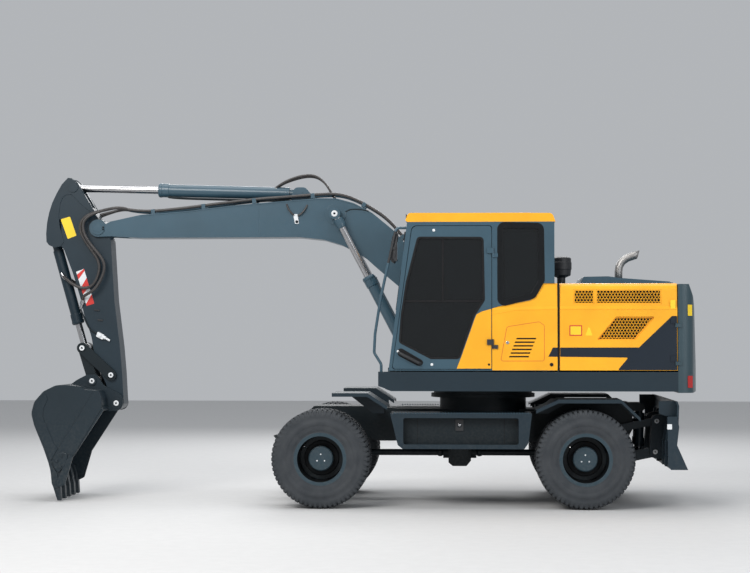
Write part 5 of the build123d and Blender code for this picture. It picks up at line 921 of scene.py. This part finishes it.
# %%
BOOM_ROD_FOOT, BOOM_ROD_EYE = (760, 1500), (1642, 3186)
ARM_ROD_FOOT, ARM_ROD_EYE = (2056, 3430), (4613, 3503)
BUCKET_ROD_FOOT, BUCKET_ROD_EYE = (4845, 2915), (4497, 1691)
NOSE_PAD = BOOM_FACE + 11


def disc(name, x, z, y, side, radius, body):
    """Round pin cover: pale ring with a dark bolt in its middle."""
    ring = Shape()
    ring.lathe((x, side * y, z), (0, side, 0),
               [(-1, radius), (3, radius), (5, radius * 0.86), (5, radius * 0.44), (2, radius * 0.40)], 32)
    ring.make(name, body, "rim_paint", WHITE)
    bolts(name + "_bolt", [(x, side * (y + 2), z)], (0, side, 0), radius * 0.24, 6, body)


PINS = [("rocker", (4169, 1388), 185, 29, "arm"), ("rod_eye", BUCKET_ROD_EYE, 187, 29, "rocker"),
        ("link_eye", (4382, 1322), 191, 29, "bucket"), ("bucket_eye", (4106, 1074), 191, 30, "bucket")]
for label, side in SIDES:
    for name, (x, z), y, radius, body in PINS:
        disc("pin_%s_%s" % (name, label), x, z, y, side, radius, body)
    boss = Shape()
    boss.lathe((BOOM_ROD_EYE[0], side * BOOM_FACE, BOOM_ROD_EYE[1]), (0, side, 0),
               [(-1, 120), (3, 120), (5, 116), (5, 78), (4, 76)], 48)
    boss.make("boom_boss_plate_" + label, "boom", "body_paint", BODY)
    disc("pin_boom_cylinder_" + label, 1645, 3186, 318, side, 34, "boom_rods")
    boss = Shape()
    boss.lathe((4324, side * BOOM_FACE, 3040), (0, side, 0),
               [(-1, 62), (9, 62), (13, 56), (13, 20), (11, 18)], 40)
    boss.slab([(4250, 3012), (4324, 3012), (4324, 3060), (4250, 3060)], side * BOOM_FACE, side * NOSE_PAD)
    boss.make("boom_nose_pin_" + label, "boom", "body_paint", BODY, 2.0)
    bolts("boom_nose_bolts_" + label, [(4262, side * NOSE_PAD, z) for z in (3024, 3048)],
          (0, side, 0), 8, 8, "boom")
    cap = Shape()
    cap.lathe((BUCKET_ROD_FOOT[0], side * 92, BUCKET_ROD_FOOT[1]), (0, side, 0),
              [(-1, 44), (7, 44), (10, 38), (10, 14), (8, 12)], 32)
    cap.make("bucket_cylinder_pin_" + label, "arm", "body_paint", BODY)
print("pins on each side", len(PINS) + 3)

# %% [markdown]
# ## Boom and arm: the arm's tail plates and the boom's welded plate edges

# %%
ARM_HEAD = [(4673, 3612), (4744, 3536), (4802, 3433), (4851, 3330), (4886, 3218), (4909, 3105),
            (4919, 2983), (4915, 2889), (4886, 2851), (4822, 2823), (4754, 2836), (4715, 2888),
            (4763, 3057), (4777, 3189), (4758, 3320), (4734, 3386), (4696, 3417), (4638, 3424),
            (4589, 3385), (4541, 3328), (4474, 3271), (4383, 3201), (4368, 3233), (4425, 3327),
            (4493, 3431), (4541, 3506), (4589, 3572), (4628, 3605)]
LOWER_EDGE = [(1301, 2694), (1438, 2774), (1572, 2842), (1775, 2903), (2049, 2934), (2803, 2932),
              (3852, 2930), (4150, 2946)]
UPPER_EDGE = [(1234, 3202), (1436, 3309), (1640, 3364), (1844, 3366), (2236, 3336), (2803, 3288),
              (3317, 3228), (3837, 3187)]
for label, side in SIDES:
    plate = Shape()
    plate.slab(ARM_HEAD, side * (ARM_FACE - 0.5), side * (ARM_FACE + 6))
    # Painted shade: the tail plates take the darkened body paint.
    plate.make("arm_head_plate_" + label, "arm", "body_paint", BODY_PAINT_PAINTED_SHADE, 2.5)
for label, side in SIDES:
    flanges = Shape()
    for line, step in ((LOWER_EDGE, 15), (UPPER_EDGE, -13)):
        for (x0, z0), (x1, z1) in zip(line, line[1:]):
            flanges.slab([(x0, z0), (x1, z1), (x1, z1 + step), (x0, z0 + step)],
                         side * (BOOM_FACE - 1), side * (BOOM_FACE + 5))
    flanges.slab([(2494, 2948), (2504, 2948), (2504, 3304), (2494, 3304)],
                 side * (BOOM_FACE - 0.5), side * (BOOM_FACE + 2))
    flanges.make("boom_plate_edges_" + label, "boom", "body_paint", BODY, 1.2)
print("edge runs", len(LOWER_EDGE) + len(UPPER_EDGE) - 2)

# %% [markdown]
# ## Cylinders: glands with their lock rings, and the arm cylinder's pipes
# Each row: name, foot pin, eye pin, barrel length, barrel radius, places across, body, finish.

# %%
CYLINDERS = [("boom", BOOM_ROD_FOOT, BOOM_ROD_EYE, 1110, 60, (268, -268), "boom_barrels", BODY),
             ("arm", ARM_ROD_FOOT, ARM_ROD_EYE, 1600, 70, (0,), "arm_barrel", BODY),
             # Painted shade: the bucket cylinder's gland takes the darkened body paint.
             ("bucket", BUCKET_ROD_FOOT, BUCKET_ROD_EYE, 985, 59, (0,), "bucket_barrel", BODY_PAINT_PAINTED_SHADE)]
GLAND_REACH = 118
for name, foot, eye, length, radius, rows, body, material in CYLINDERS:
    run = (Vector(eye) - Vector(foot)).normalized()
    gland = Shape()
    hexagon = Shape()
    for y in rows:
        start = Vector(foot) + run * (length - GLAND_REACH)
        place, axis = (start.x, y, start.y), (run.x, 0, run.y)
        gland.lathe(place, axis, [(0, radius + 1), (5, radius + 7), (62, radius + 8), (67, radius + 3),
                                  (84, radius + 3)], 40)
        gland.lathe(place, axis, [(84, radius + 9), (88, radius + 12), (106, radius + 12), (122, radius + 2),
                                  (126, radius - 10)], 40)
        hexagon.lathe(place, axis, [(68, radius + 9), (83, radius + 9)], 6)
    gland.make(name + "_gland", body, "body_paint", material, 1.5)
    hexagon.make(name + "_gland_lock", body, "body_paint", DARK)
    if name == "arm":
        line = [(110, 2), (180, 16), (500, 16), (1000, 16), (1440, 16), (1500, 2)]
        for row, y in enumerate((-26, 26)):
            route = [(foot[0] + run.x * d, y, foot[1] + run.y * d - radius - gap) for d, gap in line]
            tube("arm_cylinder_pipe_%d" % row, route, 11, body, DARK)
print("cylinders", len(CYLINDERS))

# %% [markdown]
# ## Boom: pipes with clamps, the arm cylinder's hoses, the clip on the side

# %%
BOOM_RUN = [(4000, 3255), (3850, 3226), (3500, 3246), (3000, 3309), (2525, 3365), (2185, 3385),
            (1813, 3416), (1611, 3418), (1443, 3366), (1275, 3280), (1074, 3150), (890, 2940),
            (640, 2650), (400, 2390), (330, 2240)]
CLAMPS = ((3700, 3215, -0.11), (3130, 3273, -0.10), (2560, 3333, -0.07), (1900, 3388, -0.04),
          (1330, 3285, 0.55), (900, 2928, 0.95))
for row, y in enumerate((150, 104)):
    for label, side in SIDES:
        tube("boom_pipe_%s_%d" % (label, row), [(x, side * y, z) for x, z in BOOM_RUN],
             16, "boom", BODY if row else HOSE, 3)
clamps = Shape()
for x, z, lean in CLAMPS:
    step = Vector((cos(lean), sin(lean)))
    up = Vector((-step.y, step.x))
    place = Vector((x, z))
    quad = [place - step * 22 - up * 22, place + step * 22 - up * 22, place + step * 22 + up * 36,
            place - step * 22 + up * 36]
    for side in (1, -1):
        clamps.slab([tuple(p) for p in quad], side * 82, side * 172)
clamps.make("boom_pipe_clamps", "boom", "body_paint", BODY, 3.0)
for row, y in enumerate((-54, -18, 18, 54)):
    rise = 12 * (row % 2)
    tube("arm_cylinder_hose_%d" % row,
         [(2330, y * 0.6, 3495), (2260, y, 3545), (2176, y, 3580 + rise), (2014, y, 3628 + rise),
          (1880, y, 3628 + rise), (1790, y * 1.2, 3570), (1726, y * 1.5, 3490), (1690, y * 1.7, 3415),
          (1660, y * 1.8, 3372)],
         12, "boom", HOSE)
fittings = Shape()
for y in (-34, -12, 12, 34):
    fittings.lathe((2330, y, 3486), (-0.7, 0, 0.7), [(-10, 15), (18, 15), (20, 11), (44, 11)], 6)
fittings.make("arm_cylinder_fittings", "boom", "rod_chrome", CHROME)
clip = Shape()
clip.slab(rounded([(2118, 3190, 8), (2070, 3190, 8), (2050, 3080, 12), (2098, 3080, 12)]),
          BOOM_FACE + 1, BOOM_FACE + 8)
clip.make("boom_clip", "boom", "rim_paint", WHITE, 2.0)
bolts("boom_clip_bolt", [(2076, BOOM_FACE + 8, 3104)], (0, 1, 0), 12, 9, "boom")
tube("boom_clip_hose_front", [(2190, 174, 3300), (2180, 196, 3262), (2150, 200, 3205), (2108, 190, 3180)],
     10, "boom", HOSE)
tube("boom_clip_hose_rear", [(1962, 174, 3290), (1972, 196, 3250), (2010, 200, 3190), (2064, 190, 3172)],
     10, "boom", HOSE)
tube("boom_eye_grease_pipe", [(1530, 180, 3215), (1490, 182, 3240), (1439, 182, 3248), (1340, 182, 3240),
                              (1271, 182, 3221)], 5, "boom", DARK)
print("clamps", len(CLAMPS), "pipe points", len(BOOM_RUN))

# %% [markdown]
# ## Hoses from the boom's nose to the arm

# %%
def hose(name, points, radius, bodies):
    """A hose as a mesh, made from a tube curve through its guide points."""
    guide = tube(name + "_guide", points, radius, bodies[0], HOSE)
    mesh = bpy.data.meshes.new_from_object(guide.evaluated_get(bpy.context.evaluated_depsgraph_get()))
    bpy.data.objects.remove(guide)
    mesh.name = name
    mesh.shade_smooth()
    made = bpy.data.objects.new(name, mesh)
    bpy.context.scene.collection.objects.link(made)
    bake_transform(made)
    return made


HOSE_Y, HOSE_STEP = 196, 34
for k in range(2):
    wide = HOSE_Y + HOSE_STEP * k
    route = [(4000, 150 - 46 * k, 3255), (4080, 170 - 30 * k, 3282), (4230, wide, 3240 + 6 * k),
             (4400, wide, 3212 - 20 * k), (4530 - 36 * k, wide, 3120 - 10 * k), (4515 - 40 * k, wide, 2960),
             (4405 - 44 * k, wide, 2810), (4312 - 62 * k, wide, 2690), (4290 - 68 * k, wide, 2570),
             (4350 - 20 * k, wide, 2400 - 60 * k), (4470, wide - 20, 2345 - 60 * k),
             (4600 - 110 * k, 168, 2390 - 130 * k), (4735 - 240 * k, 96 + 52 * k, 2505 - 280 * k)]
    for name, side in (("arm_hose_upper_%d", 1), ("arm_hose_far_%d", -1)):
        hose(name % k, [(x, side * y, z) for x, y, z in route], 17,
             ("boom", "arm"))
print("hose points", len(route))

# %% [markdown]
# ## Arm: hose ends, pipes, valves, tabs, blank plate, hazard stripes

# %%
STRIP = [Vector(p) for p in ((4576, 2549), (4487, 2583), (4368, 2192), (4455, 2164))]


def on_strip(u, v):
    """A point of the hazard strip: u across it, v down it, both from 0 to 1."""
    v = min(max(v, 0), 1)
    top = STRIP[0].lerp(STRIP[1], u)
    return tuple(top.lerp(STRIP[3].lerp(STRIP[2], u), v))


for label, side in SIDES:
    ends = Shape()
    ends.lathe((4742, side * 92, 2518), (-0.55, side * 0.1, -0.83),
               [(-26, 16), (10, 16), (12, 21), (40, 21), (42, 15), (64, 15)], 20)
    ends.make("bucket_hose_end_" + label, "arm", "rod_chrome", CHROME)
    ends = Shape()
    ends.lathe((4495, side * 148, 2232), (0.25, 0, -0.97),
               [(-30, 20), (14, 20), (16, 26), (52, 26), (54, 17), (104, 17)], 20)
    ends.make("arm_hose_end_" + label, "arm", "rod_chrome", CHROME)
    tube("arm_pipe_" + label, [(4522, side * 148, 2130), (4480, side * 150, 2040), (4432, side * 152, 1900),
                               (4372, side * 152, 1868), (4330, side * 152, 1856)],
         9, "arm", DARK)
    valve = Shape()
    valve.slab(rounded([(4322, 1876, 8), (4248, 1838, 8), (4266, 1784, 8), (4340, 1822, 8)]),
               side * ARM_FACE, side * (ARM_FACE + 36))
    valve.lathe((4270, side * 158, 1822), (-0.86, 0, -0.5), [(-4, 19), (40, 19), (42, 12), (96, 12)], 16)
    valve.lathe((4296, side * 176, 1832), (0, side, 0), [(-2, 18), (14, 18), (16, 10)], 16)
    valve.make("arm_valve_" + label, "arm", "rod_chrome", WHITE, 2.0)
    tabs = Shape()
    for x, z in ((4337, 2117), (4298, 2005)):
        tabs.slab([(x - 30, z - 9), (x + 30, z - 3), (x + 30, z + 9), (x - 30, z + 3)],
                  side * (ARM_FACE - 1), side * (ARM_FACE + 16))
    tabs.make("arm_pipe_tabs_" + label, "arm", "black_plastic", PLASTIC, 2.0)
    plate = Shape()
    plate.slab(rounded([(4754, 3142, 8), (4648, 3173, 8), (4574, 2958, 8), (4673, 2921, 8)]),
               side * ARM_FACE, side * (ARM_FACE + 2))
    plate.make("arm_plate_blank_" + label, "arm", "yellow_paint", SIGN)
    base = Shape()
    base.slab([on_strip(0, 0), on_strip(1, 0), on_strip(1, 1), on_strip(0, 1)],
              side * ARM_FACE, side * (ARM_FACE + 1.5))
    base.make("hazard_white_" + label, "arm", "rim_paint", WHITE)
    red = Shape()
    for v0, v1 in ((-0.02, 0.16), (0.36, 0.60), (0.84, 1.2)):
        red.slab([on_strip(0, v0 + 0.1), on_strip(1, v0 - 0.1), on_strip(1, v1 - 0.1),
                  on_strip(0, v1 + 0.06)],
                 side * (ARM_FACE + 1.5), side * (ARM_FACE + 2.4))
    red.make("hazard_red_" + label, "arm", "rim_paint", RED)
print("arm dressed on both sides")

# %% [markdown]
# ## Bucket: shoulders, lip strips, wear plates, side cutters and tooth points

# %%
LIP_STRIP = [(4290, 1224), (4245, 1224), (4210, 1140), (4210, 1012), (4230, 992), (4534, 480),
             (4574, 441), (4758, 470)]
SHOULDER = [(4500, 1250), (4245, 1224), (4210, 1140), (4210, 1022), (4236, 1040), (4320, 1130), (4470, 1236)]
WEAR_PLATE = [(4693, 589), (4738, 638), (4783, 746), (4832, 854), (4864, 933), (4857, 1022), (4807, 1130),
              (4840, 1192), (4918, 1112), (4948, 1066), (4962, 966), (4938, 862), (4802, 512),
              (4775, 444), (4758, 470)]
SIDE_CUTTER = [(4748, 465, 20), (4703, 520, 20), (4643, 544, 20), (4589, 529, 20), (4579, 490, 20),
               (4613, 392, 30), (4683, 318, 20), (4723, 362, 20)]
CUTTER_BOLTS = ((4652, 508), (4702, 448), (4664, 386))
CUTTER_FACE = BUCKET_FACE + 26
for label, side in SIDES:
    inner = side * (BUCKET_FACE - 2)
    plates = Shape()
    plates.slab(LIP_STRIP, inner, side * (BUCKET_FACE + 9))
    plates.slab(WEAR_PLATE, inner, side * (BUCKET_FACE + 7))
    plates.make("bucket_side_plates_" + label, "bucket", "body_paint", BUCKET, 3.0)
    shoulder = Shape()
    shoulder.slab(SHOULDER, side * 204, side * (BUCKET_FACE - 3))
    shoulder.make("bucket_shoulder_" + label, "bucket", "body_paint", BUCKET, 6.0)
    cutter = Shape()
    cutter.slab(rounded(SIDE_CUTTER, 3), inner, side * CUTTER_FACE)
    cutter.make("bucket_side_cutter_" + label, "bucket", "body_paint", BUCKET, 6.0)
    bolts("bucket_cutter_bolts_" + label, [(x, side * CUTTER_FACE, z) for x, z in CUTTER_BOLTS],
          (0, side, 0), 17, 14, "bucket", BUCKET, "body_paint")
TEETH, TOOTH_PITCH = 5, 232.5
POINT_HALF, ADAPTER_HALF = 39, 47
TOOTH_POINT = [(4764, 215), (4757, 196), (4697, 12), (4655, 12), (4664, 150), (4684, 236)]
TOOTH_ADAPTER = [(4760, 205), (4772, 320), (4786, 400), (4768, 420), (4706, 330), (4676, 222),
                 (4690, 150), (4732, 132)]
points = Shape()
adapters = Shape()
for k in range(TEETH):
    y = TOOTH_PITCH * (k - (TEETH - 1) / 2)
    points.slab(TOOTH_POINT, y - POINT_HALF, y + POINT_HALF)
    adapters.slab(TOOTH_ADAPTER, y - ADAPTER_HALF, y + ADAPTER_HALF)
points.make("bucket_tooth_points", "bucket", "body_paint", BUCKET, 6.0)
adapters.make("bucket_tooth_adapters", "bucket", "body_paint", BUCKET, 6.0)
print("teeth", TEETH)

# %% [markdown]
# ## Boom cylinders: painted rod eyes with their collars

# %%
EYE_REACH = 130
run = (Vector(BOOM_ROD_FOOT) - Vector(BOOM_ROD_EYE)).normalized()
collar = Shape()
for y in (268, -268):
    collar.lathe((BOOM_ROD_EYE[0] + run.x * 66, y, BOOM_ROD_EYE[1] + run.y * 66), (run.x, 0, run.y),
                 [(0, 54), (70, 54), (96, 50), (110, 45)], 36)
collar.make("boom_rod_collar", "boom_rods", "body_paint", BODY, 1.5)
painted = recolour("boom_rods", BODY,
                   lambda x, y, z: hypot(x - BOOM_ROD_EYE[0], z - BOOM_ROD_EYE[1]) < EYE_REACH)
print("painted eye faces", painted)

# %% [markdown]
# ## Undercarriage: serrated steps, box locks and seams, blade pins and tag

# %%
BOX_FACE = 1099
for label, side in SIDES:
    teeth = Shape()
    for x in range(-480, 960, 30):
        teeth.slab([(x, 1008), (x + 12, 1022), (x + 24, 1008)], side * 1150, side * 1217)
    teeth.make("step_serrations_" + label, "undercarriage", "body_paint", BODY)
    lock = Shape()
    lock.slab(rounded([(215, 822, 8), (300, 822, 8), (300, 945, 8), (215, 945, 8)]),
              side * BOX_FACE, side * (BOX_FACE + 13))
    lock.make("box_lock_" + label, "undercarriage", "black_plastic", PLASTIC, 2.0)
    knob = Shape()
    knob.lathe((257, side * (BOX_FACE + 13), 884), (0, side, 0), [(-1, 13), (5, 13), (7, 8)], 20)
    knob.make("box_lock_knob_" + label, "undercarriage", "rod_chrome", CHROME)
    seams = Shape()
    for x in (700, -220):
        seams.slab([(x, 676), (x + 5, 676), (x + 5, 960), (x, 960)], side * BOX_FACE, side * (BOX_FACE + 2.5))
    seams.make("box_seams_" + label, "undercarriage", "black_plastic", SEAL)
    for name, x, z, y, body in (("lower", -1878, 561, 384, "blade"), ("upper", -1895, 897, 384, "blade"),
                                ("arm_pivot", -1350, 450, 354, "undercarriage"),
                                ("link_pivot", -1367, 786, 354, "undercarriage")):
        disc("pin_blade_%s_%s" % (name, label), x, z, y, side, 26, body)
    tag = Shape()
    tag.slab([(-1965, 850), (-1915, 850), (-1915, 905), (-1965, 905)], side * 1245.5, side * 1247)
    tag.make("blade_tag_" + label, "blade", "rim_paint", WHITE)

# %% [markdown]
# ## Floor, light and camera
# The camera stands about 20 m away at eye height, as in the photograph, with a long lens.

# %%
floor_mesh = bpy.data.meshes.new("floor")
floor_mesh.from_pydata([(-40, -30, 0), (40, -30, 0), (40, 60, 0), (-40, 60, 0)], [], [(0, 1, 2, 3)])
floor = bpy.data.objects.new("floor", floor_mesh)
bpy.context.scene.collection.objects.link(floor)
ground = grained("floor_pale", (0.60, 0.60, 0.60), (0.63, 0.63, 0.63), 30.0, 0.02, 0.85)
floor_mesh.materials.append(ground)


def area_light(name, place, target, size, power, colour=(1, 1, 1)):
    data = bpy.data.lights.new(name, "AREA")
    data.shape = "RECTANGLE"
    data.size, data.size_y = size
    data.energy = power
    data.color = colour
    lamp = bpy.data.objects.new(name, data)
    bpy.context.scene.collection.objects.link(lamp)
    lamp.location = place
    lamp.rotation_euler = (Vector(target) - Vector(place)).to_track_quat("-Z", "Y").to_euler()
    return lamp


area_light("key", (5.0, 11.0, 9.0), (0, 0, 1.6), (7, 5), 1150, (1.0, 0.98, 0.95))
area_light("fill", (-9.0, 10.0, 5.0), (0, 0, 1.4), (7, 5), 420, (0.94, 0.97, 1.0))
area_light("top", (0.0, 0.0, 10.0), (0, 0, 0), (10, 6), 480)
area_light("back", (0.0, -11.0, 8.0), (0, 0, 1.4), (9, 4), 600)

world = bpy.data.worlds.new("studio")
bpy.context.scene.world = world
world.use_nodes = True
world.node_tree.nodes["Background"].inputs["Color"].default_value = (0.86, 0.89, 0.93, 1)
world.node_tree.nodes["Background"].inputs["Strength"].default_value = 0.52

FOCAL_PIXELS = 1823.0
IMAGE_WIDTH = 750.0
SENSOR = 36.0
CAMERA_PLACE = (165.4, 20480.6, 1846.2)
CAMERA_YAW, CAMERA_PITCH = 0.05095, 0.02617
lens = bpy.data.cameras.new("camera")
lens.sensor_width = SENSOR
lens.lens = SENSOR * FOCAL_PIXELS / IMAGE_WIDTH
camera = bpy.data.objects.new("camera", lens)
bpy.context.scene.collection.objects.link(camera)
camera.location = at(*CAMERA_PLACE)
view = Vector((sin(CAMERA_YAW) * cos(CAMERA_PITCH), -cos(CAMERA_YAW) * cos(CAMERA_PITCH), sin(CAMERA_PITCH)))
camera.rotation_euler = view.to_track_quat("-Z", "Y").to_euler()
bpy.context.scene.camera = camera
bpy.context.scene.view_settings.view_transform = "Standard"
print("camera at", [round(v, 3) for v in camera.location], "lens", round(lens.lens, 1))
